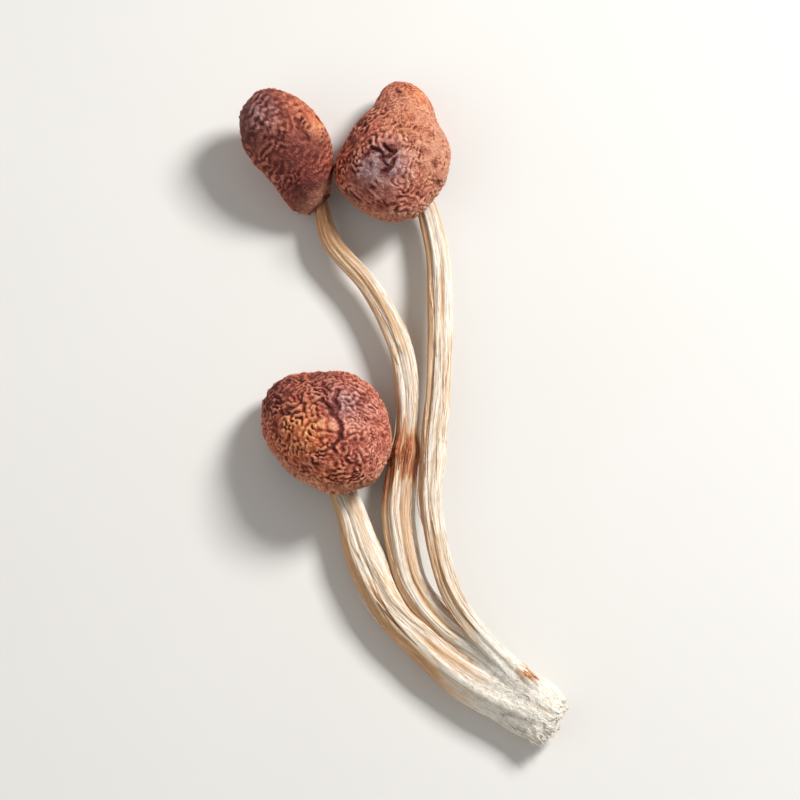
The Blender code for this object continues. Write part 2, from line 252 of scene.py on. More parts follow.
def screen_colour(red, green, blue):
    """A colour given as it looks on a screen, 0 to 255, as the light values that a shader needs."""
    parts = [value / 255.0 for value in (red, green, blue)]
    light = [p / 12.92 if p <= 0.04045 else ((p + 0.055) / 1.055) ** 2.4 for p in parts]
    return (light[0], light[1], light[2], 1.0)


print("a mid grey reaches the shader as", [round(value, 3) for value in screen_colour(128, 128, 128)])

# %% [markdown]
# ## The table
# The clump lies on a plain pale table. It only has to catch the shadows, so it is one large
# sheet with a trace of unevenness, and it is not part of the clump.

# %% Table
TABLE_HALF = 2.0
TABLE_PALE = screen_colour(226, 224, 220)
TABLE_SHADE = screen_colour(221, 219, 214)


def table_finish():
    """Pale, matt and very slightly mottled."""
    finish = Finish("pale_table")
    cloudy = finish.noise(finish.place(), 0.06)
    finish.paint(finish.blend(TABLE_SHADE, TABLE_PALE, cloudy), 0.85, 0.2)
    return finish.material


def add_table():
    """Lay the table's sheet at the height that the clump rests on."""
    bm = bmesh.new()
    bmesh.ops.create_grid(bm, x_segments=1, y_segments=1, size=TABLE_HALF)
    bmesh.ops.translate(bm, vec=(0.0, 0.0, cad_low.z), verts=bm.verts)
    mesh = bpy.data.meshes.new("table")
    bm.to_mesh(mesh)
    bm.free()
    mesh.materials.append(table_finish())
    put_in_scene("table", mesh)


add_table()
print("table laid at height", round(cad_low.z, 5))

# %% [markdown]
# ## Smooth routes
# Every stem follows a route: a few stops from the torn base to the cap, each with the stem's
# half width and half thickness there. A smooth curve through the stops gives as many
# stations as a piece needs. Sizes are in millimetres until a piece is finished.

# %% Routes
MM = 0.001
CENTRING = Vector((0.75, -0.4, 0.0))
FINE_SAMPLES = 60
LEFT_STEM = (
    (27.0, -61.7, 3.3, 4.6, 3.7),
    (22.0, -58.9, 3.3, 4.4, 3.6),
    (16.1, -55.9, 3.4, 4.1, 3.2),
    (9.6, -51.6, 3.5, 3.8, 2.9),
    (3.2, -45.6, 3.7, 3.5, 2.7),
    (-2.7, -39.2, 3.8, 3.3, 2.5),
    (-7.3, -29.5, 4.0, 3.4, 2.4),
    (-9.8, -21.0, 4.0, 2.9, 2.2),
    (-12.2, -13.6, 3.6, 2.5, 2.1),
    (-13.6, -8.4, 4.3, 2.2, 2.0),
    (-14.1, -5.9, 8.2, 2.0, 2.0),
)
MIDDLE_STEM = (
    (25.8, -58.6, 4.4, 4.2, 3.6),
    (20.0, -53.8, 4.4, 3.4, 3.0),
    (14.5, -48.4, 4.2, 3.0, 2.5),
    (7.6, -43.2, 4.1, 2.9, 2.3),
    (1.6, -34.5, 4.0, 2.9, 2.2),
    (-1.0, -22.4, 4.0, 3.1, 2.3),
    (-0.6, -13.6, 4.2, 2.9, 2.2),
    (0.5, -5.4, 4.4, 2.2, 1.9),
    (0.6, 3.9, 4.4, 2.3, 1.9),
    (-1.0, 13.4, 4.3, 2.3, 1.8),
    (-6.4, 24.6, 4.3, 2.0, 1.7),
    (-13.6, 33.6, 4.3, 1.8, 1.6),
    (-15.8, 41.2, 4.6, 1.4, 1.3),
    (-18.1, 46.7, 6.0, 1.25, 1.2),
    (-20.6, 50.4, 7.1, 1.1, 1.1),
)
RIGHT_STEM = (
    (26.4, -58.4, 4.8, 3.6, 3.2),
    (23.6, -55.6, 5.4, 2.8, 2.6),
    (19.3, -51.2, 6.0, 2.2, 2.0),
    (13.6, -45.0, 6.6, 1.9, 1.8),
    (8.2, -35.8, 7.0, 2.0, 1.8),
    (5.2, -21.6, 6.8, 2.1, 1.8),
    (5.2, -11.4, 6.6, 2.3, 1.9),
    (6.3, 2.0, 6.2, 2.4, 1.9),
    (6.8, 12.4, 5.8, 2.4, 1.9),
    (6.8, 22.6, 5.2, 2.4, 1.8),
    (6.2, 32.0, 4.6, 2.2, 1.8),
    (4.3, 40.4, 4.2, 2.0, 1.7),
    (1.4, 46.0, 4.9, 1.9, 1.7),
    (0.4, 48.1, 8.6, 1.8, 1.7),
)


def curve_value(stops, place):
    """Read a smooth curve through the stops at place, which counts stops."""
    last = len(stops) - 1
    first = min(int(place), last - 1)
    share = place - first
    before = stops[max(first - 1, 0)]
    after = stops[min(first + 2, last)]
    values = []
    for a, b, c, d in zip(before, stops[first], stops[first + 1], after):
        slope_in = 0.5 * (c - a)
        slope_out = 0.5 * (d - b)
        cubic = 2.0 * b - 2.0 * c + slope_in + slope_out
        square = 3.0 * (c - b) - 2.0 * slope_in - slope_out
        values.append(b + share * (slope_in + share * (square + share * cubic)))
    return values


class Route:
    """A stem's middle line, read at a distance along it."""

    def __init__(self, stops):
        count = FINE_SAMPLES * (len(stops) - 1)
        samples = np.array([curve_value(stops, i / FINE_SAMPLES) for i in range(count + 1)])
        hops = np.linalg.norm(np.diff(samples[:, :3], axis=0), axis=1)
        self.samples = samples
        self.lengths = np.concatenate(([0.0], np.cumsum(hops)))
        self.length = float(self.lengths[-1])

    @functools.cache
    def read(self, along):
        """Place, half width and half thickness at a distance; past the ends it goes straight on."""
        inside = min(max(along, 0.0), self.length)
        values = [float(np.interp(inside, self.lengths, column)) for column in self.samples.T]
        point = Vector(values[:3]) + self.heading(inside) * (along - inside)
        return point, values[3], values[4]

    @functools.cache
    def heading(self, along):
        """The direction toward the cap at a distance."""
        near = [min(max(along + shift, 0.0), self.length) for shift in (-0.5, 0.5)]
        a, b = [[float(np.interp(at, self.lengths, self.samples[:, i])) for i in range(3)] for at in near]
        return (Vector(b) - Vector(a)).normalized()

    @functools.cache
    def cross_axes(self, along):
        """The sideways and upward directions across the stem at a distance."""
        ahead = self.heading(along)
        up = (Vector((0.0, 0.0, 1.0)) - ahead * ahead.z).normalized()
        return ahead.cross(up), up


routes = {"left": Route(LEFT_STEM), "middle": Route(MIDDLE_STEM), "right": Route(RIGHT_STEM)}
print("stem lengths in mm:", {name: round(route.length, 1) for name, route in routes.items()})

# %% [markdown]
# ## A tube from a sheet
# Stems, loose fibres, the ring and the gill blades are all tubes of some kind. A tube could be
# extruded ring by ring. Here a grid is laid out flat and rolled up: each of its points asks a
# rule for its place, the two long edges meet and merge, and the two open ends are filled.

# %% Rolling up a sheet
MERGE = 1e-4


def roll_tube(bm, sides, steps, rule):
    """Add a closed tube; rule(angle, share along) gives each point's place.

    Returns each vertex with its angle and share, and the two faces that close the ends.
    """
    sheet = bmesh.ops.create_grid(bm, x_segments=sides, y_segments=steps, size=1.0)["verts"]
    spots = []
    for v in sheet:
        angle = 2.0 * math.pi * (round(0.5 * (v.co.x + 1.0) * sides) % sides) / sides
        spots.append((v, angle, 0.5 * (v.co.y + 1.0)))
    for v, angle, share in spots:
        v.co = rule(angle, share)
    rim = [v for v in sheet if v.is_boundary]
    bmesh.ops.remove_doubles(bm, verts=rim, dist=MERGE)
    spots = [spot for spot in spots if spot[0].is_valid]
    open_edges = dict.fromkeys(e for v, angle, share in spots for e in v.link_edges if e.is_boundary)
    ends = bmesh.ops.holes_fill(bm, edges=list(open_edges), sides=sides)["faces"]
    return spots, ends


def settle(bm, name):
    """Turn a bmesh in millimetres into a smooth mesh in metres with its faces pointing out."""
    bmesh.ops.translate(bm, vec=CENTRING, verts=bm.verts)
    bmesh.ops.scale(bm, vec=(MM, MM, MM), verts=bm.verts)
    bmesh.ops.recalc_face_normals(bm, faces=bm.faces)
    mesh = bpy.data.meshes.new(name)
    bm.to_mesh(mesh)
    bm.free()
    mesh.shade_smooth()
    return mesh


def add_piece(name, mesh, material, nodes=()):
    """Show a mesh as a piece of the clump that stands for these packed nodes."""
    mesh.materials.clear()
    mesh.materials.append(material)
    piece = put_in_scene(name, mesh)
    if nodes:
        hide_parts(*nodes)
    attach(piece, "root")
    mesh.calc_loop_triangles()
    print(name, "has", len(mesh.loop_triangles), "triangles")
    return piece


trial = bmesh.new()
trial_spots, trial_ends = roll_tube(
    trial, 6, 2, lambda angle, share: Vector((math.cos(angle), math.sin(angle), share)))
trial.free()
print("a trial tube has", len(trial_spots), "points and", len(trial_ends), "closed ends")

# %% [markdown]
# ## The stems' skin
# A dried stem is a bundle of fibres that shrank. It shows a few strong ribs, a finer set of
# strands on them, and long thin splits between them. All three are heights that depend on
# the angle round the stem and the distance along it, in a straightened stem. Reading the noise
# there, and not in the room, makes every mark run lengthwise whatever way the stem bends.

# %% Stem relief
STEM_RIBS = 6
RIB_DEPTH = 0.17
RIB_TWIST = 0.35
RIB_DRIFT = 26.0
RIB_QUIVER = 11.0
STRAND_LAYERS = ((5.0, 22.0, 0.62), (11.0, 16.0, 0.38))
SPLIT_LAYERS = ((2.3, 40.0, 0.16, 1.0), (4.4, 30.0, 0.20, 0.55))
STRAND_RELIEF = 0.20
SPLIT_DEPTH = 0.27
STEM_SIDES = 148
STEM_STEP = 0.62


def laid_angle(angle, along, seed):
    """The angle round a stem, turned as its ribs drift, so that every mark runs alongside them."""
    drift = math.sin(along / RIB_DRIFT + seed) + 0.5 * math.sin(along / RIB_QUIVER + 2.0 * seed)
    return angle + RIB_TWIST * drift


def noise_round(angle, fineness, height):
    """Noise on a circle, so that it closes on itself; fineness is the circle's radius."""
    return noise.noise(Vector((fineness * math.cos(angle), fineness * math.sin(angle), height)))


def rib_shape(angle, along, seed):
    """Height of the ribs round a stem, 0 in a groove and 1 on a rib."""
    wave = math.cos(0.5 * STEM_RIBS * laid_angle(angle, along, seed))
    uneven = 0.5 + 0.5 * noise_round(angle, 3.0, along / 9.0 + seed)
    return abs(wave) * (0.45 + 0.9 * uneven)


def straightened(angle, along, seed, fineness, length):
    """A place in the straightened stem; marks there are 1 / fineness wide and length long."""
    laid = laid_angle(angle, along, seed)
    return Vector((fineness * math.cos(laid) + 9.0 * seed, fineness * math.sin(laid), along / length))


def strand_relief(angle, along, seed):
    """Height of the strands, about 0 to 1."""
    return 0.5 + sum(
        share * noise.noise(straightened(angle, along, seed, fineness, length))
        for fineness, length, share in STRAND_LAYERS)


def split_relief(angle, along, seed):
    """Depth of the long splits, 0 to 1: they run where slow noise crosses zero."""
    deepest = 0.0
    for fineness, length, width, depth in SPLIT_LAYERS:
        level = noise.noise(straightened(angle, along, seed + fineness, fineness, length))
        present = 0.15 + 1.7 * noise.noise(Vector((seed + fineness, 2.0 * angle, along / 17.0)))
        gap = max(0.0, 1.0 - abs(level) / width)
        deepest = max(deepest, gap * gap * depth * min(1.0, max(0.0, present)))
    return deepest


print("a rib, a strand and a split at one place:",
      [round(rule(1.0, 30.0, 2.2), 2) for rule in (rib_shape, strand_relief, split_relief)])

# %% [markdown]
# ## Stains and painted shade
# The fibres are pale, but brown where juice dried in: in long streaks, round the ring and near
# the cap, where painted shade under the cap is added. Along the flank away from the key lamp
# the tan is painted shade. A rule gives this stain and painted shade at any place of a stem,
# from 0 to 1, and the finish reads it later. soft_step makes each of its edges a gentle one.

# %% Stains
STREAK_STAIN = 0.45
FLANK_SHADE = {"left": 0.62, "middle": 0.5, "right": 0.6}
FLANK_FROM, FLANK_FULL = 4.0, 26.0
RUSTY_AT, RUSTY_SPREAD = 8.0, 2.4
RING_STAIN_FROM, RING_STAIN_FULL, RING_STAIN_END, RING_STAIN_FADE = 53.5, 57.5, 67.0, 4.0
BELOW_RING_FLANK = 0.9
BELOW_RING_FROM, BELOW_RING_FULL, BELOW_RING_END, BELOW_RING_FADE = 42.0, 54.0, 66.0, 6.0
CAP_STAIN_AND_SHADE = {"left": (0.5, 14.0, 4.0), "middle": (0.8, 36.0, 10.0)}


def soft_step(value, low, high):
    """0 at low, 1 at high, smooth between."""
    share = min(1.0, max(0.0, (value - low) / (high - low)))
    return share * share * (3.0 - 2.0 * share)


def stain_rule(name, angle, along, seed):
    """Where a stem is brown: stains in long streaks, at the ring and near the cap, and painted shade near
    the cap and on the flank away from the key lamp.
    """
    route = routes[name]
    streak = noise.noise(straightened(angle, along, seed + 5.0, 1.6, 24.0)) - 0.10
    stain_and_shade = STREAK_STAIN * soft_step(streak, 0.0, 0.45)
    # Painted shade: the flank away from the key lamp is painted tan.
    flank = soft_step(-math.cos(angle) - 0.3 * math.sin(angle), 0.1, 0.9)
    stain_and_shade = max(stain_and_shade, FLANK_SHADE[name] * flank * soft_step(along, FLANK_FROM, FLANK_FULL))
    if name == "right":
        rusty = 0.55 + 1.4 * noise.noise(straightened(angle, along, 6.0, 3.5, 4.0))
        rusty *= math.exp(-((along - RUSTY_AT) / RUSTY_SPREAD) ** 2) * soft_step(math.sin(angle), 0.1, 0.8)
        stain_and_shade = max(stain_and_shade, rusty)
    else:
        # Near the cap the brown is a stain with painted shade from the cap added to it.
        strength, far, close = CAP_STAIN_AND_SHADE[name]
        stain_and_shade = max(stain_and_shade, strength * soft_step(along, route.length - far, route.length - close))
    if name == "middle":
        ragged = along + 7.0 * noise_round(angle, 2.2, 7.0)
        ring = soft_step(ragged, RING_STAIN_FROM, RING_STAIN_FULL)
        ring *= soft_step(RING_STAIN_END - ragged, 0.0, RING_STAIN_FADE)
        stain_and_shade = max(stain_and_shade, ring * (1.0 + 0.4 * noise.noise(straightened(angle, along, 3.0, 3.0, 9.0))))
        # The flank is also made darker below the ring.
        below = flank * soft_step(along, BELOW_RING_FROM, BELOW_RING_FULL)
        below *= soft_step(BELOW_RING_END - along, 0.0, BELOW_RING_FADE)
        stain_and_shade = max(stain_and_shade, BELOW_RING_FLANK * below)
    return min(1.0, stain_and_shade)


print("stain at the ring and far from it:",
      [round(stain_rule("middle", 1.5, along, 1.3), 2) for along in (60.0, 40.0)])

# %% [markdown]
# ## One stem
# Each stem is rolled up along its route, with its relief on it. The lower end is rounded and
# dips, so that it sinks into the base. Each vertex keeps a few values for the finish: how deep
# it lies in a groove, which the finish paints as shade, how much stain and painted shade it
# gets, how chalky it is, and its place along the grain.

# %% One stem
RING_AT = 61.0
RING_RISE = 0.55
RING_SPREAD = 2.2
CAP_REACH = 1.6
BASE_ROUNDING = {"left": 2.5, "middle": 8.5, "right": 8.5}
BASE_DIP = 1.9
CHALK_REACH, CHALK_FADE = 22.0, 14.0
STEM_SEEDS = {"left": 2.2, "middle": 1.3, "right": 4.1}
STEM_VALUES = ("groove", "stain_and_shade", "chalk")


def stem_point(name, angle, along):
    """The place on one stem's skin, with the values that its vertex keeps."""
    seed = STEM_SEEDS[name]
    route = routes[name]
    point, half_width, half_thick = route.read(along)
    side, up = route.cross_axes(along)
    flat = math.hypot(half_width * math.cos(angle), half_thick * math.sin(angle))
    rib = rib_shape(angle, along, seed)
    strand = strand_relief(angle, along, seed)
    split = split_relief(angle, along, seed)
    reach = flat * (1.0 - RIB_DEPTH + 1.2 * RIB_DEPTH * rib)
    reach += STRAND_RELIEF * (strand - 0.5) - SPLIT_DEPTH * split
    if name == "middle":
        reach += RING_RISE * math.exp(-((along - RING_AT) / RING_SPREAD) ** 2)
    groove = min(1.0, 0.95 * split + 0.4 * max(0.0, 0.45 - rib) + 0.5 * max(0.0, 0.36 - strand))
    place = point + (side * math.cos(angle) + up * math.sin(angle)) * reach
    chalk = soft_step(CHALK_REACH - along, 0.0, CHALK_FADE)
    return place, groove, stain_rule(name, angle, along, seed), chalk


def new_stem_bmesh():
    """An empty bmesh with the values that the stems' finish reads."""
    bm = bmesh.new()
    layers = [bm.verts.layers.float.new(value) for value in STEM_VALUES]
    return bm, layers, bm.verts.layers.float_vector.new("grain")


def stem_mesh(name):
    """Roll up one stem along its route and keep the finish's values at its vertices."""
    route = routes[name]
    seed = STEM_SEEDS[name]
    reach = route.length + CAP_REACH
    bm, layers, grain = new_stem_bmesh()

    def rule(angle, share):
        along = share * reach
        place = stem_point(name, angle, along)[0]
        if along < BASE_ROUNDING[name]:
            middle = route.read(along)[0]
            short = 1.0 - along / BASE_ROUNDING[name]
            place = middle + (place - middle) * math.sqrt(1.0 - 0.7 * short * short)
            place.z -= BASE_DIP * short * short
        place.z = max(place.z, 0.0)
        return place

    spots, ends = roll_tube(bm, STEM_SIDES, round(reach / STEM_STEP), rule)
    for v, angle, share in spots:
        values = stem_point(name, angle, share * reach)[1:]
        for layer, value in zip(layers, values):
            v[layer] = value
        v[grain] = straightened(angle, share * reach, seed, 1.0, 70.0)
    bmesh.ops.poke(bm, faces=ends)
    return bm


print("half way up the middle stem the skin is at",
      [round(value, 1) for value in stem_point("middle", 0.5 * math.pi, 0.5 * routes["middle"].length)[0]])

# %% [markdown]
# ## The torn base
# The base is a lumpy knob that all three stems run into, torn off its ground at the front. A
# ball is the best start, because it is closed and even. Each of its points is moved outward
# by lumps, strands and pits, and the front is flattened and pulled into shreds.

# %% Base
KNOB_CENTRE = Vector((21.7, -57.9, 4.1))
KNOB_AHEAD = Vector((0.85, -0.52, 0.0)).normalized()
KNOB_ACROSS = Vector((0.0, 0.0, 1.0)).cross(KNOB_AHEAD)
KNOB_HALVES = (8.0, 5.4, 3.7)
KNOB_SHOULDER = 0.26
KNOB_BACK = 0.42
KNOB_SINK = 1.25
KNOB_SQUARENESS = 0.62
KNOB_CUTS = 6
KNOB_LUMPS, KNOB_STRANDS, KNOB_PITS = 0.10, 0.075, 0.045
TORN_FROM, TORN_FULL = 0.4, 0.85
TORN_LENGTH = 1.3


def knob_point(ball):
    """The place on the base for a point of the unit ball, and how deep it lies in a groove."""
    turn = math.atan2(ball.z, ball.y)
    strands = noise_round(turn, 3.4, 1.3 * ball.x) + 0.6 * noise_round(turn, 9.0, 2.6 * ball.x)
    lumps = noise.noise(1.6 * ball + Vector((0.0, 0.0, 1.0)))
    pits = noise.noise(6.5 * ball)
    torn = soft_step(ball.x, TORN_FROM, TORN_FULL)
    shreds = noise.noise(Vector((3.0, 4.5 * ball.y, 4.0 * ball.z)))
    shreds += 0.6 * noise.noise(Vector((8.0, 12.0 * ball.y, 11.0 * ball.z)))
    front, round_share = ball.x, 1.0
    if ball.x > 0.0:
        front = ball.x ** KNOB_SQUARENESS
        round_share = max(math.hypot(ball.y, ball.z), 0.02) ** (KNOB_SQUARENESS - 1.0)
    swell = round_share * (1.0 + KNOB_LUMPS * lumps + KNOB_STRANDS * strands + KNOB_PITS * pits)
    shoulder = soft_step(ball.y, -0.1, 0.7) * soft_step(0.85 - abs(ball.x + 0.05), 0.0, 0.6)
    swell *= 1.0 + KNOB_SHOULDER * shoulder
    reach = front * KNOB_HALVES[0] + torn * TORN_LENGTH * shreds + 0.7 * lumps
    place = KNOB_CENTRE + KNOB_AHEAD * reach
    narrow = 1.0 - KNOB_BACK * soft_step(-ball.x, 0.1, 1.0)
    place += KNOB_ACROSS * ball.y * KNOB_HALVES[1] * swell * narrow
    lift = ball.z * KNOB_HALVES[2] * swell - KNOB_SINK * (1.0 - ball.x)
    place.z = max(place.z + lift, 0.0)
    groove = 0.9 * max(0.0, -strands - 0.15) + torn * 0.8 * max(0.0, -shreds - 0.05)
    return place, min(1.0, groove)


def knob_mesh():
    """The lumpy base, torn and fibrous on the side that faces away from the caps."""
    bm, layers, grain = new_stem_bmesh()
    bmesh.ops.create_icosphere(bm, subdivisions=KNOB_CUTS, radius=1.0)
    for v in bm.verts:
        ball = v.co.copy()
        v.co, groove = knob_point(ball)
        for layer, value in zip(layers, (groove, 0.0, 1.0)):
            v[layer] = value
        turn = math.atan2(ball.z, ball.y)
        v[grain] = Vector((20.0 + 1.5 * math.cos(turn), 1.5 * math.sin(turn), ball.x * 0.12))
    return bm


print("the base's torn front lies at", [round(value, 1) for value in knob_point(Vector((1.0, 0.0, 0.0)))[0]])

# %% [markdown]
# ## Three stems, one clump
# Three stems and a base become one body by a Boolean union, because they grew as one. A union
# leaves a sharp crease where two surfaces cross. The creases near the base are found by
# their angle and smoothed until they melt away, with their values taken from beside them.

# %% Union
SEAM_REACH, SEAM_AHEAD = 15.0, 4.5
SEAM_ANGLE = 0.4
SEAM_RINGS, SEAM_PALE_RINGS, SEAM_TURNS = 6, 3, 34


def melt_seams(mesh):
    """Smooth the sharp creases that the union leaves where the stems run into the base."""
    bm = bmesh.new()
    bm.from_mesh(mesh)
    centre = KNOB_CENTRE + CENTRING
    seam = {}
    for e in bm.edges:
        away = 0.5 * (e.verts[0].co + e.verts[1].co) / MM - centre
        near = away.length < SEAM_REACH and away.dot(KNOB_AHEAD) < SEAM_AHEAD
        if near and e.is_manifold and not e.is_convex and e.calc_face_angle() > SEAM_ANGLE:
            seam.update(dict.fromkeys(e.verts))
    groove, stain_and_shade, chalk = [bm.verts.layers.float[value] for value in STEM_VALUES]
    for ring in range(SEAM_RINGS):
        for v in seam if ring < SEAM_PALE_RINGS else ():
            others = [e.other_vert(v) for e in v.link_edges]
            v[chalk] = max(other[chalk] for other in others)
            v[groove] = min(other[groove] for other in others)
            v[stain_and_shade] = min(other[stain_and_shade] for other in others)
        seam.update(dict.fromkeys([e.other_vert(v) for v in seam for e in v.link_edges]))
    for turn in range(SEAM_TURNS):
        bmesh.ops.smooth_vert(
            bm, verts=list(seam), factor=0.5, use_axis_x=True, use_axis_y=True, use_axis_z=True)
    bm.to_mesh(mesh)
    bm.free()
    print("seam vertices smoothed:", len(seam))


def stem_clump(material):
    """Join the three stems and the base into one body."""
    holder = bpy.data.collections.new("stem_parts")
    bpy.context.scene.collection.children.link(holder)
    sheets = [stem_mesh(name) for name in routes] + [knob_mesh()]
    parts = [bpy.data.objects.new("stem_part", settle(bm, "stem_part")) for bm in sheets]
    bpy.context.scene.collection.objects.link(parts[0])
    for part in parts[1:]:
        holder.objects.link(part)
    union = parts[0].modifiers.new("union", "BOOLEAN")
    union.operation = "UNION"
    union.solver = "MANIFOLD"
    union.operand_type = "COLLECTION"
    union.collection = holder
    graph = bpy.context.evaluated_depsgraph_get()
    mesh = bpy.data.meshes.new_from_object(parts[0].evaluated_get(graph))
    for part in parts:
        bpy.data.objects.remove(part, do_unlink=True)
    bpy.data.collections.remove(holder)
    melt_seams(mesh)
    return add_piece("dried_stems", mesh, material, ["stems"])

# %% [markdown]
# ## The stems' finish
# The fibres are cream where they stand out. Where they lie deep, in the grooves and along
# hair-thin lines, they are painted tan to reddish brown as painted shade. The streaks follow the
# stem because their noise is read at the grain value, the place in the straightened stem. The
# torn base is almost white, dull and finely pitted, like chalk.

# %% Stem finish
FIBRE_PALE = screen_colour(255, 250, 240)
FIBRE_CREAM = screen_colour(250, 234, 208)
# Painted shade for the grooves and fibre dips, tan and deep brown.
GROOVE_SHADE_TAN = screen_colour(220, 178, 134)
GROOVE_SHADE_DEEP = screen_colour(150, 94, 56)
# Tan and brown for the real stains and for the painted shade on the flank and under the caps.
STAIN_AND_SHADE_TAN = screen_colour(224, 174, 118)
STAIN_AND_SHADE_BROWN = screen_colour(172, 92, 54)
CHALK_WHITE = screen_colour(244, 239, 228)
CHALK_SHADE = screen_colour(214, 200, 178)


def stem_finish():
    """Dry, fibrous and striped lengthwise."""
    finish = Finish("dried_stem_fibre")
    grain = finish.attribute("grain", ATTRIBUTE_VECTOR)
    groove = finish.attribute("groove")
    stain_and_shade = finish.attribute("stain_and_shade")
    chalk = finish.attribute("chalk")
    streaks = finish.noise(grain, 0.40, 4.0, 0.6)
    fibres = finish.noise(grain, 0.07, 3.0, 0.6)
    hair = finish.noise(grain, 0.11, 2.0, 0.5) - 0.5
    hairline = (hair * hair).between(0.0016, 0.0)
    patches = finish.noise(finish.place(), 0.006, 2.0)
    colour = finish.blend(FIBRE_CREAM, FIBRE_PALE, (streaks * 0.8 + patches * 0.4).between(0.40, 0.70))
    # Stains, and painted shade on the flank away from the key lamp and under the caps, in tan and brown.
    colour = finish.blend(colour, STAIN_AND_SHADE_TAN, (stain_and_shade * 1.4 + (streaks - 0.5)).between(0.05, 0.75) * 0.9)
    colour = finish.blend(colour, STAIN_AND_SHADE_BROWN, (stain_and_shade + (fibres - 0.5) * 0.8).between(0.50, 0.92))
    # Painted shade where the fibre noise dips, as it does in the bump.
    colour = finish.blend(colour, GROOVE_SHADE_TAN, fibres.between(0.50, 0.30) * 0.55)
    whitened = chalk * (0.72 + streaks * 0.5).between(0.0, 1.0) * (1.0 - stain_and_shade.between(0.5, 0.9))
    pits = finish.noise(finish.place(), 0.0013, 4.0, 0.65)
    chalky = finish.blend(CHALK_SHADE, CHALK_WHITE, (pits * 0.5 + fibres * 0.5).between(0.38, 0.53))
    colour = finish.blend(colour, chalky, whitened)
    # Painted shade in the grooves and in the hair-thin lines, tan and then deep brown, weaker on the chalky
    # base.
    groove_shade = groove.between(0.08, 0.45) + hairline * 0.55
    colour = finish.blend(colour, GROOVE_SHADE_TAN, groove_shade * (1.0 - chalk * 0.75))
    colour = finish.blend(colour, GROOVE_SHADE_DEEP, groove.between(0.38, 0.9) * (1.0 - chalk * 0.9))
    finish.paint(colour, 0.60 + chalk * 0.28, 0.35)
    crumbs = finish.noise(finish.place(), 0.0006, 4.0)
    height = (fibres - hairline * 0.4) * (1.0 - chalk * 0.7) + crumbs * (0.25 + chalk * 0.9)
    height = height + pits * chalk * 3.2
    finish.feed(finish.shader.inputs["Normal"], finish.bump(height, 0.00022))
    return finish.material


stem_material = stem_finish()
stem_clump(stem_material)

# %% [markdown]
# ## Torn fibres
# Where the clump was torn from its ground, single fibres stick out, white at the end and rusty
# on top of the base. Each is a thin tube that tapers and curls, rolled up from a sheet like the
# stems. It starts a little below the skin, so that its root never shows.

# %% Torn fibres
FIBRE_SIDES, FIBRE_STEPS = 6, 14
ABOVE_TABLE = 0.02
FRAY_COUNT = 170
FRAY_LENGTHS, FRAY_RADII = (0.7, 1.6), (0.07, 0.17)
RUSTY_COUNT = 64
RUSTY_LENGTHS, RUSTY_RADII = (0.9, 3.0), (0.05, 0.11)


def add_fibre(bm, path, radius):
    """A tapering tube along path(share)."""

    def rule(angle, share):
        ahead = (path(min(1.0, share + 0.02)) - path(max(0.0, share - 0.02))).normalized()
        side = ahead.cross(Vector((0.31, 0.22, 0.93))).normalized()
        thick = radius * (1.05 - share) ** 0.6
        place = path(share) + (side * math.cos(angle) + ahead.cross(side) * math.sin(angle)) * thick
        place.z = max(place.z, ABOVE_TABLE)
        return place

    roll_tube(bm, FIBRE_SIDES, FIBRE_STEPS, rule)


def curled_path(start, way, curl):
    """A path that leaves start along way and bends toward curl."""
    return lambda share: start + way * share + curl * share * share


def torn_fibres(rng):
    """White fibres on the torn end, more of them low down."""
    bm = bmesh.new()
    for i in range(FRAY_COUNT):
        height = rng.uniform(-0.75, 0.75)
        over = rng.uniform(-0.9, 0.8) - 0.1
        if over * over + height * height > 0.85:
            continue
        ball = Vector((math.sqrt(1.0 - over * over - height * height), over, height))
        way = KNOB_AHEAD + KNOB_ACROSS * (0.35 * over + rng.uniform(-0.3, 0.3))
        way.z = rng.uniform(-0.25, 0.35)
        length = rng.uniform(*FRAY_LENGTHS) * (1.5 if over < -0.2 else 0.7)
        curl = Vector(rng.uniform(-0.35, 0.35, 3))
        start = knob_point(ball)[0] - KNOB_AHEAD * 0.6
        add_fibre(bm, curled_path(start, way * length, curl), rng.uniform(*FRAY_RADII))
    return bm


def rusty_fibres(rng):
    """Rusty fibres on top, where the two thinner stems leave the base."""
    bm = bmesh.new()
    for i in range(RUSTY_COUNT):
        along = rng.normal(7.8, 1.5)
        start = stem_point("right", rng.normal(1.0, 0.45), along)[0] - Vector((0.0, 0.0, 0.1))
        middle = routes["right"].read
        way = (middle(along)[0] - middle(along + 1.0)[0]).normalized()
        way += KNOB_ACROSS * rng.uniform(-0.12, 0.12)
        way.z += rng.uniform(-0.05, 0.08)
        curl = Vector(rng.uniform(-0.25, 0.25, 3))
        curl.z = -0.1
        path = curled_path(start, way * rng.uniform(*RUSTY_LENGTHS), curl)
        add_fibre(bm, path, rng.uniform(*RUSTY_RADII))
    return bm


print("torn and rusty fibres to make:", FRAY_COUNT, RUSTY_COUNT)

# %% [markdown]
# ## Loose fibres
# A few fibres have come loose along the stems as well. Such a fibre follows the skin, stands
# off it in the middle and goes back in at both ends. All fibres draw their numbers from one
# seeded source, so they are the same in every run.

# %% Loose fibres
LOOSE_FIBRES = (("left", 16), ("middle", 16), ("right", 14))
LOOSE_LENGTHS, LOOSE_LIFTS, LOOSE_RADII = (6.0, 15.0), (0.05, 0.45), (0.07, 0.13)
CLEAR_OF_BASE, CLEAR_OF_CAP = 14.0, 18.0


def loose_path(name, angle, start, length, lift):
    """A path along a stem's skin that stands off it in the middle."""

    def path(share):
        along = start + length * share
        skin = stem_point(name, angle + 0.25 * share, along)[0]
        out = (skin - routes[name].read(along)[0]).normalized()
        return skin + out * (lift * math.sin(math.pi * share) ** 2 + 0.05 - 0.2 * (abs(share - 0.5) > 0.49))

    return path


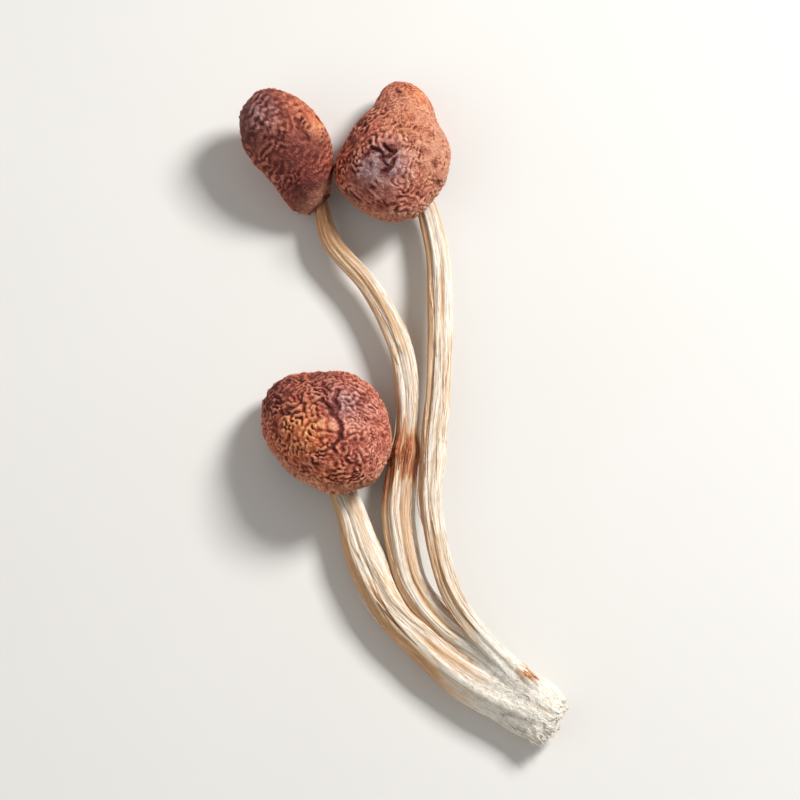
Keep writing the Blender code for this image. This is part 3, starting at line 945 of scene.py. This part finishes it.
def loose_fibres(rng):
    """Single fibres that have come loose along the stems."""
    bm = bmesh.new()
    for name, count in LOOSE_FIBRES:
        for i in range(count):
            length = rng.uniform(*LOOSE_LENGTHS)
            start = rng.uniform(CLEAR_OF_BASE, routes[name].length - CLEAR_OF_CAP - length)
            path = loose_path(name, rng.uniform(-0.3, 3.4), start, length, rng.uniform(*LOOSE_LIFTS))
            add_fibre(bm, path, rng.uniform(*LOOSE_RADII))
    return bm


def plain_fibre_finish(name, dark, light):
    """Dull fibres between two colours."""
    finish = Finish(name)
    mottle = finish.noise(finish.place(), 0.0012, 3.0)
    finish.paint(finish.blend(dark, light, mottle.between(0.35, 0.65)), 0.8, 0.25)
    return finish.material


fibre_rng = np.random.default_rng(7)
white_fibre = plain_fibre_finish("white_fibre", screen_colour(232, 220, 202), screen_colour(255, 252, 246))
rusty_fibre = plain_fibre_finish("rusty_fibre", screen_colour(190, 122, 74), screen_colour(250, 214, 168))
cream_fibre = plain_fibre_finish("cream_fibre", screen_colour(222, 184, 140), screen_colour(252, 240, 220))
for name, made, material in (
        ("torn_fibres", torn_fibres(fibre_rng), white_fibre),
        ("rusty_fibres", rusty_fibres(fibre_rng), rusty_fibre),
        ("loose_fibres", loose_fibres(fibre_rng), cream_fibre)):
    add_piece(name, settle(made, name), material)

# %% [markdown]
# ## The ring's remains
# A young pioppino has a thin skirt round its stem. Here it dried to a brown, ragged band that
# clings to the middle stem. It is one thin roll that goes only part of the way round. Where it
# is narrow it sinks into the stem, so that it breaks up into shreds, and its lower edge is torn.

# %% Ring
RING_SIDES, RING_STEPS = 14, 160
RING_START, RING_SWEEP = 1.0, 2.5
RING_THICK = 0.09
RING_SINK = 0.9


def ring_mesh():
    """A thin ragged band that hugs the middle stem and breaks up where it is narrow."""
    bm = bmesh.new()
    route = routes["middle"]

    def rule(angle, share):
        turn = RING_START + RING_SWEEP * share
        ragged = noise_round(turn, 2.2, 1.0)
        torn = noise_round(turn, 7.0, 5.0)
        half = (1.5 + 1.6 * ragged + 3.0 * torn) * math.sin(math.pi * share) ** 0.3
        half = max(0.15, half)
        across = math.cos(angle)
        frayed = noise_round(turn, 16.0, 9.0)
        along = RING_AT - 0.6 + 2.6 * ragged + 1.5 * torn + half * across
        along += max(0.0, -across) * 3.0 * frayed
        skin = stem_point("middle", turn, along)[0]
        out = (skin - route.read(along)[0]).normalized()
        lift = (0.08 + 0.25 * torn) * max(0.0, -across) ** 2 + 0.02
        sink = RING_SINK * soft_step(0.9 - half, 0.0, 0.6)
        place = skin + out * (max(0.02, lift) + RING_THICK * math.sin(angle) - sink)
        place.z = max(place.z, ABOVE_TABLE)
        return place

    roll_tube(bm, RING_SIDES, RING_STEPS, rule)
    return settle(bm, "ring_remains")


ring_material = plain_fibre_finish("dried_ring", screen_colour(128, 62, 36), screen_colour(206, 132, 92))
add_piece("ring_remains", ring_mesh(), ring_material)

# %% [markdown]
# ## The caps' sizes
# Each cap dried into its own shape: a squarish dome, an ear and a tall dome with a peak. A cap
# is given by its middle, its axis, its outline as radii at even angles, and the heights of its
# dome, lip and hollow. The ends say how much of the section each of these takes up.

# %% Cap sizes
CAPS = {
    "left": {
        "centre": (-14.2, -5.6, 7.6),
        "axis": (-0.15, 0.42, 0.895),
        "radii": (11.9, 12.2, 13.0, 14.0, 14.6, 14.6, 12.4, 10.6, 10.8, 13.6, 15.0, 13.2),
        "dome": 8.6,
        "squareness": 1.0,
        "lip": 3.4,
        "taper": 1.0,
        "bend": (0.0, 0.0),
        "edge": 0.87,
        "mouth": 0.74,
        "recess": 2.0,
        "gill_depth": 3.4,
        "bore": 3.3,
        "seed": 3.0,
        "ends": (0.62, 0.72, 0.82, 0.86),
    },
    "middle": {
        "centre": (-21.2, 51.6, 7.5),
        "axis": (-0.66, 0.70, 0.25),
        "radii": (7.4, 7.5, 7.6, 7.6, 7.5, 7.4, 7.2, 7.2, 7.3, 7.3, 7.3, 7.3),
        "dome": 12.0,
        "squareness": 0.85,
        "lip": 11.8,
        "taper": 1.6,
        "bend": (-3.3, -0.7),
        "edge": 0.38,
        "mouth": 0.60,
        "recess": 1.0,
        "gill_depth": 3.0,
        "bore": 1.8,
        "seed": 11.0,
        "ends": (0.44, 0.70, 0.86, 0.90),
    },
    "right": {
        "centre": (0.3, 48.5, 8.2),
        "axis": (-0.12, 0.36, 0.925),
        "radii": (8.4, 8.9, 11.0, 17.8, 13.2, 12.2, 12.8, 13.6, 12.9, 12.6, 10.0, 8.8),
        "dome": 9.4,
        "squareness": 1.0,
        "lip": 3.6,
        "taper": 1.0,
        "bend": (0.0, 0.0),
        "edge": 0.85,
        "mouth": 0.70,
        "recess": 1.6,
        "gill_depth": 3.6,
        "bore": 2.7,
        "seed": 23.0,
        "ends": (0.62, 0.72, 0.82, 0.86),
    },
}

print("caps about", {name: round(2.0 * max(cap["radii"])) for name, cap in CAPS.items()}, "mm across")

# %% [markdown]
# ## The caps' form
# A cap starts as a ball of even triangles, so that no pole of long thin faces shows on top. A
# rule wraps it over the turned section of a cap: a dome, a lip that rolls under, and the hollow
# that holds the gills. The outline is not round, so the reach changes with the angle.

# %% Cap form
BALL_CUTS = 7
RECESS_TAPER = 0.94
LIP_WALL = 0.12
WALL_POWER = 0.25
BEND_POWER = 1.5
LUMP_PITCH = 8.0
LUMP_HEIGHT = 1.1


def cap_frame(cap):
    """The matrix that carries a cap from its own axis to its place."""
    axis = Vector(cap["axis"]).normalized()
    right = (Vector((1.0, 0.0, 0.0)) - axis * axis.x).normalized()
    turn = Matrix((right, axis.cross(right), axis)).transposed().to_4x4()
    return Matrix.Translation(Vector(cap["centre"])) @ turn


def rim_radius(cap, angle):
    """The cap's outline at an angle, smooth through its radii."""
    radii = cap["radii"]
    count = len(radii)
    wrapped = [(radii[i % count],) for i in range(-1, count + 2)]
    return curve_value(wrapped, (angle / (2.0 * math.pi)) % 1.0 * count + 1.0)[0]


def cap_section(cap, turn):
    """Radius share and height of the section, from 0 on top to 1 in the middle of the hollow.

    The cap's ends are the turns where dome, outer lip, inner lip and wall are done.
    """
    dome_end, edge_end, lip_end, wall_end = cap["ends"]
    if turn <= dome_end:
        slope = 0.5 * math.pi * turn / dome_end
        square = cap["squareness"]
        return math.sin(slope) ** square, cap["dome"] * max(0.0, math.cos(slope)) ** square
    if turn <= edge_end:
        slope = 0.5 * math.pi * (turn - dome_end) / (edge_end - dome_end)
        reach = cap["edge"] + (1.0 - cap["edge"]) * max(0.0, math.cos(slope)) ** cap["taper"]
        return reach, -cap["lip"] * math.sin(slope)
    if turn <= lip_end:
        slope = 0.5 * math.pi * (lip_end - turn) / (lip_end - edge_end)
        swing = max(0.0, math.cos(slope))
        wall = LIP_WALL * swing ** WALL_POWER
        reach = cap["edge"] - wall + (cap["mouth"] + LIP_WALL - cap["edge"]) * swing ** 2
        return reach, -cap["lip"] * math.sin(slope)
    if turn <= wall_end:
        share = (turn - lip_end) / (wall_end - lip_end)
        return cap["mouth"] * (1.0 + share * (RECESS_TAPER - 1.0)), share * cap["recess"]
    share = (1.0 - turn) / (1.0 - wall_end)
    return RECESS_TAPER * cap["mouth"] * share, cap["recess"]


def put_in_place(bm, cap):
    """Bend what hangs below the rim's plane and carry a cap's piece to its place."""
    for v in bm.verts:
        if v.co.z < 0.0:
            share = (-v.co.z / cap["lip"]) ** BEND_POWER
            v.co.x += cap["bend"][0] * share
            v.co.y += cap["bend"][1] * share
    bmesh.ops.transform(bm, matrix=cap_frame(cap), verts=bm.verts)


def plain_cap(cap):
    """Wrap a ball over the cap's section, still without wrinkles. Returns each vertex's turn too."""
    bm = bmesh.new()
    bmesh.ops.create_icosphere(bm, subdivisions=BALL_CUTS, radius=1.0)
    seed = Vector((cap["seed"], 0.0, 0.0))
    edge_end = cap["ends"][1]
    turns = []
    for v in bm.verts:
        turn = math.acos(max(-1.0, min(1.0, v.co.z))) / math.pi
        angle = math.atan2(v.co.y, v.co.x)
        share, height = cap_section(cap, turn)
        reach = share * rim_radius(cap, angle)
        v.co = Vector((reach * math.cos(angle), reach * math.sin(angle), height))
        turns.append(turn)
    bm.normal_update()
    lumps = [LUMP_HEIGHT * noise.noise(v.co / LUMP_PITCH + seed) for v in bm.verts]
    for v, lump, turn in zip(bm.verts, lumps, turns):
        v.co += v.normal * lump * (1.0 - soft_step(turn, edge_end - 0.03, edge_end + 0.03))
    put_in_place(bm, cap)
    bm.normal_update()
    return bm, np.array(turns)


print("a cap's section starts on top at", cap_section(CAPS["left"], 0.0))

# %% [markdown]
# ## Growing the wrinkles
# A drying cap shrinks inside while its skin does not, so the skin buckles into folds of nearly
# one spacing. A noise texture never looks quite like that. Here the folds grow: small random
# heights are fed back through a rule that lets waves of the right spacing rise and all
# others fade. Neighbours pull on each other, as they do in a real skin. Where the pull is
# stronger along one direction, the folds line up with it.

# %% Wrinkle growth
GROWTH_STEPS = 330
GROWTH_TIME = 0.012
GROWTH_RATE = 1.15
PULL_LIMIT = 6.0
LINE_UP = 0.9
SPOKES = 6


def neighbours(bm):
    """The neighbours of each vertex in a table of six columns, the vertex itself where one is missing."""
    bm.verts.index_update()
    rows = [[e.other_vert(v).index for e in v.link_edges] for v in bm.verts]
    return np.array([(row + [i] * SPOKES)[:SPOKES] for i, row in enumerate(rows)])


def cloud(places, pitch, seed):
    """Soft noise between about -1 and 1 at each vertex."""
    shift = Vector((seed, 2.0 * seed, 0.0))
    return 2.0 * np.array([noise.noise(Vector(place) / pitch + shift) for place in places])


def grow_folds(places, near, spacing, rate, pitting, lean, seed):
    """Heights from about -1 to 1: folds of the given spacing that run along lean.

    Folds stay out of places where rate is below 0. Where pitting is high they close into a net.
    """
    ways = places[near] - places[:, None, :]
    squares = (ways ** 2).sum(2)
    squares[squares == 0.0] = np.inf
    pull = (4.0 / SPOKES) * (spacing[:, None] / (2.0 * math.pi)) ** 2 / squares
    pull *= np.minimum(1.0, PULL_LIMIT / pull.sum(1))[:, None]
    smear = LINE_UP * pull * 2.0 * np.einsum("ijk,ik->ij", ways, lean) ** 2 / squares
    pull, smear = pull.astype(np.float32), smear.astype(np.float32)
    loss, smear_loss = pull.sum(1), smear.sum(1)
    rate, pitting = rate.astype(np.float32), pitting.astype(np.float32)
    height = np.random.default_rng(seed).uniform(-0.4, 0.4, len(places)).astype(np.float32)
    for step in range(GROWTH_STEPS):
        around = height[near]
        once = height * (1.0 - loss) + np.einsum("ij,ij->i", pull, around)
        twice = once * (1.0 - loss) + np.einsum("ij,ij->i", pull, once[near])
        lined = np.einsum("ij,ij->i", smear, around) - smear_loss * height
        change = rate * height - twice + lined - pitting * height * height - height ** 3
        height = height + GROWTH_TIME * change
    return height


print("folds grow for", round(GROWTH_STEPS * GROWTH_TIME, 1), "units of time")

# %% [markdown]
# ## Where a cap differs from place to place
# On the real caps the folds are coarse in some places and almost smooth in others, and the
# colour changes too. The dark umber patches are partly painted shade, the amber and pink ones
# partly painted light. Each such place is given as seen from the camera: millimetres to the
# right and up in the picture's plane, and how far it reaches.

# %% Places on the caps
PATCHES = {
    "left": {
        "amber": ((-18.6, -2.6, 4.0, 0.9), (-20.5, -6.0, 3.0, 0.5), (-15.0, -13.0, 5.0, 0.45)),
        "umber": ((-25.6, 6.6, 6.0, 0.8), (-15.5, 9.5, 3.5, 0.7), (-23.0, -9.5, 3.0, 0.4)),
        "pink": ((-7.4, 0.6, 6.0, 0.65), (-7.0, -7.0, 5.0, 0.6), (-13.0, -12.5, 4.5, 0.4)),
        "tan": (),
        "lilac": ((-11.5, 3.0, 3.0, 0.6),),
        "calm": (),
        "fine": ((-7.0, -0.5, 5.5, 1.0),),
        "wide": ((-13.5, -0.5, 5.0, 1.0), (-19.5, -3.5, 3.5, 0.5)),
    },
    "middle": {
        "amber": ((-15.6, 57.0, 3.0, 0.55), (-19.5, 61.3, 3.0, 0.4)),
        "umber": ((-28.0, 56.0, 8.0, 1.0), (-20.5, 50.5, 7.0, 0.9), (-17.8, 43.0, 6.0, 1.0)),
        "pink": ((-25.5, 55.0, 3.4, 0.35),),
        "tan": ((-15.0, 55.0, 3.2, 0.4),),
        "lilac": ((-27.5, 57.5, 3.0, 0.35),),
        "calm": ((-15.6, 56.4, 3.2, 0.7), (-19.5, 60.6, 2.6, 0.5), (-17.0, 42.0, 3.6, 0.8)),
        "fine": (),
        "wide": ((-25.0, 52.0, 5.0, 0.3),),
    },
    "right": {
        "amber": ((3.2, 62.0, 3.6, 0.5), (1.0, 56.5, 3.6, 0.25)),
        "umber": ((-8.5, 41.0, 4.0, 0.5),),
        "pink": ((-2.5, 41.5, 5.0, 0.9), (5.0, 40.5, 3.0, 0.5)),
        "tan": ((6.8, 51.0, 7.5, 1.0), (2.4, 57.5, 6.0, 0.85), (8.6, 45.0, 4.0, 0.8)),
        "lilac": ((-3.4, 48.0, 3.6, 1.0), (-6.3, 47.0, 2.8, 0.8)),
        "calm": ((6.8, 51.5, 6.5, 0.45), (2.4, 59.0, 6.0, 0.45), (-8.0, 52.5, 3.0, 0.3),
                 (-3.4, 48.6, 3.4, 1.0)),
        "fine": ((6.5, 51.0, 8.0, 1.0), (3.0, 58.0, 6.5, 1.0)),
        "wide": ((-3.4, 48.6, 4.0, 0.8),),
    },
}
CREASES = {
    "left": (((-12.8, 5.0), (-12.4, -0.9), (-11.3, -2.3), (-13.1, -5.2)), ((-15.0, 3.4), (-12.6, 0.6))),
    "middle": (((-20.7, 56.6), (-19.4, 54.6), (-18.0, 52.6)),),
    "right": (((-6.0, 51.2), (-4.6, 49.8), (-3.4, 48.0)), ((-3.4, 51.4), (-2.4, 50.2)),
              ((-1.6, 48.6), (-3.2, 47.2), (-4.0, 46.2)), ((-2.0, 50.2), (-4.2, 48.9))),
}
print("patches on the caps:", sum(len(spots) for kinds in PATCHES.values() for spots in kinds.values()))

# %% [markdown]
# ## From places to masks
# A mask says how much each vertex belongs to a kind of place, from 0 to 1. A patch fades out
# softly from its middle, and a crease is narrow and runs along a bent line. Both count only
# where the skin faces the camera, so that the far side of a cap stays plain.

# %% Masks
SEEN_UP = Vector((0.0, math.sin(VIEW_ELEVATION), math.cos(VIEW_ELEVATION)))
SEEN_BACK = Vector((0.0, -math.cos(VIEW_ELEVATION), math.sin(VIEW_ELEVATION)))
CREASE_WIDTH = 0.38
CREASE_DEPTH = {"left": 0.55, "middle": 0.26, "right": 0.62}
CREASE_DEEPEST = max(CREASE_DEPTH.values())


def seen(places):
    """Each place as the camera sees it: right and up, in millimetres."""
    return np.stack((places[:, 0], places @ np.array(SEEN_UP)), axis=1)


def patch_mask(places, normals, patches):
    """How much each vertex belongs to the patches, 0 to 1, only where the skin faces the camera."""
    spots = seen(places)
    mask = np.zeros(len(places))
    for right, up, reach, strength in patches:
        away = np.hypot(spots[:, 0] - right, spots[:, 1] - up)
        mask = np.maximum(mask, strength * np.exp(-(away / reach) ** 2))
    facing = np.clip(2.5 * (normals @ np.array(SEEN_BACK)) + 0.4, 0.0, 1.0)
    return mask * facing


def crease_mask(places, normals, creases):
    """1 along the deep creases, falling to 0 beside them."""
    spots = seen(places)
    spots = spots + 0.35 * np.stack((np.sin(2.1 * spots[:, 1]), np.sin(1.7 * spots[:, 0])), axis=1)
    nearest = np.full(len(places), np.inf)
    for line in creases:
        for start, end in zip(line, line[1:]):
            start, way = np.array(start), np.array(end) - np.array(start)
            share = np.clip((spots - start) @ way / (way @ way), 0.0, 1.0)
            nearest = np.minimum(nearest, np.linalg.norm(spots - start - share[:, None] * way, axis=1))
    facing = np.clip(3.0 * (normals @ np.array(SEEN_BACK)), 0.0, 1.0)
    return np.exp(-(nearest / CREASE_WIDTH) ** 2) * facing


print("the deepest crease is", CREASE_DEEPEST, "mm deep")

# %% [markdown]
# ## Wrinkled skins
# The folds of each cap run their own way: outward on the left cap's right side, across on the
# middle cap, aslant on the lower left of the right cap. Their heights then push the skin out
# and in along its normals. The push is strong in some places and weak in others, and slow
# crumples lie under it, because a real skin never dries evenly. The noise's seed is set, as
# Blender's vector noise starts from the clock and would change the folds in every run.

# %% Wrinkled caps
COARSE_SPACING = {"left": 1.12, "middle": 1.3, "right": 1.15}
FINE_SPACING = 0.86
WIDE_SHARE = 0.42
SPACING_SPREAD = 0.3
FOLD_HEIGHT = {"left": 0.34, "middle": 0.24, "right": 0.27}
FINE_HEIGHT = 0.11
LEAST_HEIGHT = 0.22
HEIGHT_SPREAD = 0.75
CRUMPLE_HEIGHT = {"left": 0.30, "middle": 0.20, "right": 0.24}
FINE_FADE = 0.45
PITTING = 0.25
PITTING_SPREAD = 1.5
WIDE_LUMPS = 1.6
SKIN_VALUES = ("amber", "umber", "pink", "tan", "lilac")
ASLANT = Vector((0.78, -0.62, 0.0))
WANDER = 0.55
WANDER_SEED = 5
noise.seed_set(WANDER_SEED)


def lean_rule(name, cap, places, normals, masks):
    """The direction that the folds run in at each vertex, longer where they hold to it more."""
    axis = Vector(cap["axis"]).normalized()
    out = places - np.array(cap["centre"])
    out = out - np.outer(out @ np.array(axis), np.array(axis))
    out /= np.maximum(np.linalg.norm(out, axis=1), 1e-6)[:, None]
    if name == "middle":
        lean = 0.65 * np.cross(np.array(axis), out)
    elif name == "right":
        slant = patch_mask(places, normals, ((-5.5, 42.5, 7.0, 1.0),))
        lean = 0.85 * slant[:, None] * np.array(ASLANT) + 0.3 * (1.0 - slant[:, None]) * out
    else:
        lean = (0.15 + 0.6 * masks["pink"])[:, None] * out
    lean = lean + WANDER * np.array([noise.noise_vector(Vector(place) / 3.5) for place in places])
    return lean - normals * np.einsum("ij,ij->i", lean, normals)[:, None]


def crumpled(places, seed):
    """Height of sharp-edged crumples a few millimetres wide, with rough detail on them."""
    shift = Vector((0.0, seed, 0.0))
    sharp = np.array([abs(noise.noise(Vector(place) / 2.3 + shift)) for place in places])
    rough = np.array([noise.fractal(Vector(place) / 0.8 + shift, 0.6, 2.1, 3) for place in places])
    return 0.45 - 2.2 * sharp + 0.45 * rough


def wrinkled_skin(name, cap):
    """A cap's mesh with its folds, and the values that its finish reads."""
    bm, turns = plain_cap(cap)
    near = neighbours(bm)
    places = np.array([v.co for v in bm.verts])
    normals = np.array([v.normal for v in bm.verts])
    masks = {kind: patch_mask(places, normals, spots) for kind, spots in PATCHES[name].items()}
    seed = cap["seed"]
    fine = masks["fine"]
    spacing = COARSE_SPACING[name] * (1.0 - fine) + FINE_SPACING * fine
    spacing *= (1.0 + SPACING_SPREAD * cloud(places, 2.1, seed)) * (1.0 + WIDE_SHARE * masks["wide"])
    rate = GROWTH_RATE * (1.0 - 1.6 * masks["calm"] + 0.5 * cloud(places, 2.4, seed + 5.0))
    pitting = PITTING + PITTING_SPREAD * cloud(places, 2.6, seed + 9.0) - WIDE_LUMPS * masks["wide"]
    lean = lean_rule(name, cap, places, normals, masks)
    folds = grow_folds(places, near, spacing, rate, pitting, lean, int(seed))
    strength = np.clip(1.0 + HEIGHT_SPREAD * cloud(places, 2.3, seed + 2.0), LEAST_HEIGHT, 1.5)
    crest = np.clip(0.5 + 0.5 * folds * strength, 0.0, 1.0)
    edge_end = cap["ends"][1]
    outside = 1.0 - np.array([soft_step(turn, edge_end - 0.02, edge_end + 0.04) for turn in turns])
    height = FOLD_HEIGHT[name] * (1.0 - fine) + FINE_HEIGHT * fine
    crease = crease_mask(places, normals, CREASES[name])
    crumple = crumpled(places, seed)
    crease *= CREASE_DEPTH[name] / CREASE_DEEPEST
    push = height * (crest - 0.55) - CREASE_DEEPEST * crease
    push = outside * (push + CRUMPLE_HEIGHT[name] * crumple * (1.0 - 0.6 * fine))
    for v, amount in zip(bm.verts, push):
        v.co += v.normal * float(amount)
        v.co.z = max(v.co.z, 0.0)
    values = {kind: masks[kind] for kind in SKIN_VALUES}
    # The crest value is painted by the finish as light and shade: painted highlight on the crests, painted
    # shade in the valleys and creases.
    shown = 0.5 + (crest - 0.5) * (1.0 - FINE_FADE * np.maximum(fine, masks["lilac"]))
    values["crest"] = np.clip(shown - 2.0 * crease + 0.35 * crumple, 0.0, 1.0)
    values["under"] = np.array([soft_step(turn, edge_end - 0.02, edge_end + 0.05) for turn in turns])
    values["margin"] = np.exp(-((turns - edge_end + 0.06) / 0.045) ** 2)
    mesh = settle(bm, "dried_cap_" + name)
    for kind, numbers in values.items():
        mesh.attributes.new(kind, "FLOAT", "POINT").data.foreach_set("value", numbers.astype(np.float32))
    return mesh


print("folds are", FINE_SPACING, "to", max(COARSE_SPACING.values()), "mm apart before they are varied")

# %% [markdown]
# ## The caps' finish
# Reddish brown leather. The valleys and creases are painted dark maroon as painted shade, the
# crests a dusty pink brown as painted highlight, with pale specks on them as painted glints.
# The patches bring in the amber, tan and lilac places. Fine noise breaks up every colour, and a
# bump gives the skin creases too small to model.

# %% Cap finish
# The darkest colour is painted shade for the valleys, the crest colour a painted highlight and the speck
# colour painted glints; the flesh colour is the skin's own mid tone.
VALLEY_SHADE = screen_colour(90, 28, 18)
FLESH = screen_colour(196, 88, 60)
CREST_HIGHLIGHT = screen_colour(240, 158, 126)
SPECK_GLINT = screen_colour(250, 204, 178)
AMBER_LOW, AMBER_HIGH = screen_colour(212, 86, 36), screen_colour(255, 186, 122)
TAN_LOW, TAN_HIGH = screen_colour(190, 116, 86), screen_colour(232, 174, 140)
LILAC_LOW, LILAC_HIGH = screen_colour(132, 86, 90), screen_colour(226, 190, 188)
PINK_LOW, PINK_HIGH = screen_colour(166, 78, 60), screen_colour(236, 166, 142)
UMBER_LOW, UMBER_HIGH = screen_colour(80, 18, 12), screen_colour(156, 70, 56)
RIM_PALE = screen_colour(228, 164, 130)
UNDER_BROWN = screen_colour(120, 68, 46)


def cap_finish():
    """Wrinkled brown skin."""
    finish = Finish("dried_cap_skin")
    crest = finish.attribute("crest")
    place = finish.place()
    mottle = finish.noise(place, 0.0010, 4.0, 0.65)
    specks = finish.noise(place, 0.00045, 2.0, 0.6)
    drift = finish.noise(place, 0.0045, 3.0)
    contrast = (drift * 2.4 - 0.5).between(0.35, 1.0)
    # The level is painted light and shade from the crest value, mixed with random mottle and specks.
    level = (crest - 0.5) * (contrast * 0.7 + 0.5) + (mottle - 0.5) * 0.9 + (specks - 0.5) * 0.6 + 0.5
    low = finish.blend(VALLEY_SHADE, FLESH, level.between(0.10, 0.62))
    colour = finish.blend(low, CREST_HIGHLIGHT, level.between(0.50, 1.05))
    # In each patch the dark colour falls in the valleys as painted shade and the light one on the crests as
    # painted highlight. Umber is partly painted shade, amber and pink partly painted light.
    for kind, dark, light in (
            ("umber", UMBER_LOW, UMBER_HIGH), ("pink", PINK_LOW, PINK_HIGH), ("tan", TAN_LOW, TAN_HIGH),
            ("lilac", LILAC_LOW, LILAC_HIGH), ("amber", AMBER_LOW, AMBER_HIGH)):
        toned = finish.blend(dark, light, level.between(0.25, 1.05))
        mask = finish.attribute(kind)
        share = (mask * 1.3 + (drift - 0.5) * mask * 1.6 + (mottle - 0.5) * mask).between(0.0, 1.0)
        colour = finish.blend(colour, toned, share * level.between(0.0, 0.4))
    colour = finish.blend(colour, RIM_PALE, finish.attribute("margin") * mottle)
    # Painted glints: pale specks on the crests, fewer on the umber patches.
    bright = specks.between(0.56, 0.74) * crest.between(0.5, 0.9) * (0.55 - finish.attribute("umber") * 0.45)
    colour = finish.blend(colour, SPECK_GLINT, bright)
    # Painted shade in tiny pits, where the specks dip in the bump.
    colour = finish.blend(colour, VALLEY_SHADE, specks.between(0.42, 0.26) * 0.6)
    colour = finish.blend(colour, UNDER_BROWN, finish.attribute("under"))
    finish.paint(colour, 0.74 - crest * 0.2, 0.45)
    small_folds = finish.noise(place, 0.0006, 3.0, 0.6, 1.0)
    finish.feed(finish.shader.inputs["Normal"], finish.bump(small_folds + specks * 0.5, 0.0006))
    return finish.material


cap_material = cap_finish()
for name, cap in CAPS.items():
    add_piece("dried_cap_" + name, wrinkled_skin(name, cap), cap_material, ["cap_" + name])

# %% [markdown]
# ## The gills
# Under each cap, thin blades run from the stem to the rolled-in margin. Every second blade is
# short and starts farther out, as on most gilled mushrooms. A blade is a flattened tube
# whose lower edge sags and waves a little, because the blades curled as they dried.

# %% Gills
GILL_COUNTS = {"left": 72, "middle": 40, "right": 64}
GILL_THICKNESS = 0.26
GILL_SIDES, GILL_STEPS = 8, 12
GILL_ROOF = 0.2
GILL_DROPS = ((0.10,), (0.48,), (0.62,), (0.60,), (0.42,))
CLEARANCE = 0.45


def add_blade(bm, cap, turn, start, seed):
    """One gill blade at an angle round the cap, from a share of the way out to the margin."""
    top = cap["recess"] - GILL_ROOF

    def rule(angle, share):
        out = start + (1.0 - start) * share
        rim = RECESS_TAPER * cap["mouth"] * rim_radius(cap, turn) - CLEARANCE
        reach = cap["bore"] + out * (rim - cap["bore"])
        drop = curve_value(GILL_DROPS, out * (len(GILL_DROPS) - 1))[0] * cap["gill_depth"]
        deep = 0.5 - 0.5 * math.sin(angle)
        rise = math.sin(math.pi * min(1.0, 0.5 + share / (0.3 + start)) * 0.5)
        bottom = -drop * (0.35 + 0.65 * rise) * (0.94 + 0.12 * noise.noise(Vector((seed, 3.0 * out, 0.0))))
        height = top + deep * (bottom - top)
        wave = 0.3 * deep * noise.noise(Vector((seed, 2.2 * out, 1.5 * deep)))
        aside = 0.5 * GILL_THICKNESS * math.cos(angle) + wave
        return Vector((
            reach * math.cos(turn) - aside * math.sin(turn),
            reach * math.sin(turn) + aside * math.cos(turn), height))

    roll_tube(bm, GILL_SIDES, GILL_STEPS, rule)


def gill_mesh(name, cap):
    """All the blades under one cap."""
    bm = bmesh.new()
    count = GILL_COUNTS[name]
    for i in range(count):
        turn = 2.0 * math.pi * (i + 0.3 * noise.noise(Vector((i * 1.7, cap["seed"], 0.0)))) / count
        start = 0.0 if i % 2 == 0 else (0.42 if i % 4 == 1 else 0.62)
        add_blade(bm, cap, turn, start, cap["seed"] + 0.37 * i)
    put_in_place(bm, cap)
    return settle(bm, "dried_gills_" + name)


GILL_DARK = screen_colour(74, 42, 28)
GILL_EDGE = screen_colour(158, 112, 78)


def gill_finish():
    """Dusty brown blades."""
    finish = Finish("dried_gill")
    place = finish.place()
    mottle = finish.noise(place, 0.0016, 4.0, 0.6)
    colour = finish.blend(GILL_DARK, GILL_EDGE, mottle.between(0.3, 0.75))
    finish.paint(colour, 0.82, 0.25)
    finish.feed(finish.shader.inputs["Normal"], finish.bump(finish.noise(place, 0.0004), 0.00012))
    return finish.material


gill_material = gill_finish()
for name, cap in CAPS.items():
    add_piece("dried_gills_" + name, gill_mesh(name, cap), gill_material, ["gills_" + name])

# %% [markdown]
# ## Staying within the packed model
# The finer pieces may not outgrow the packed model.
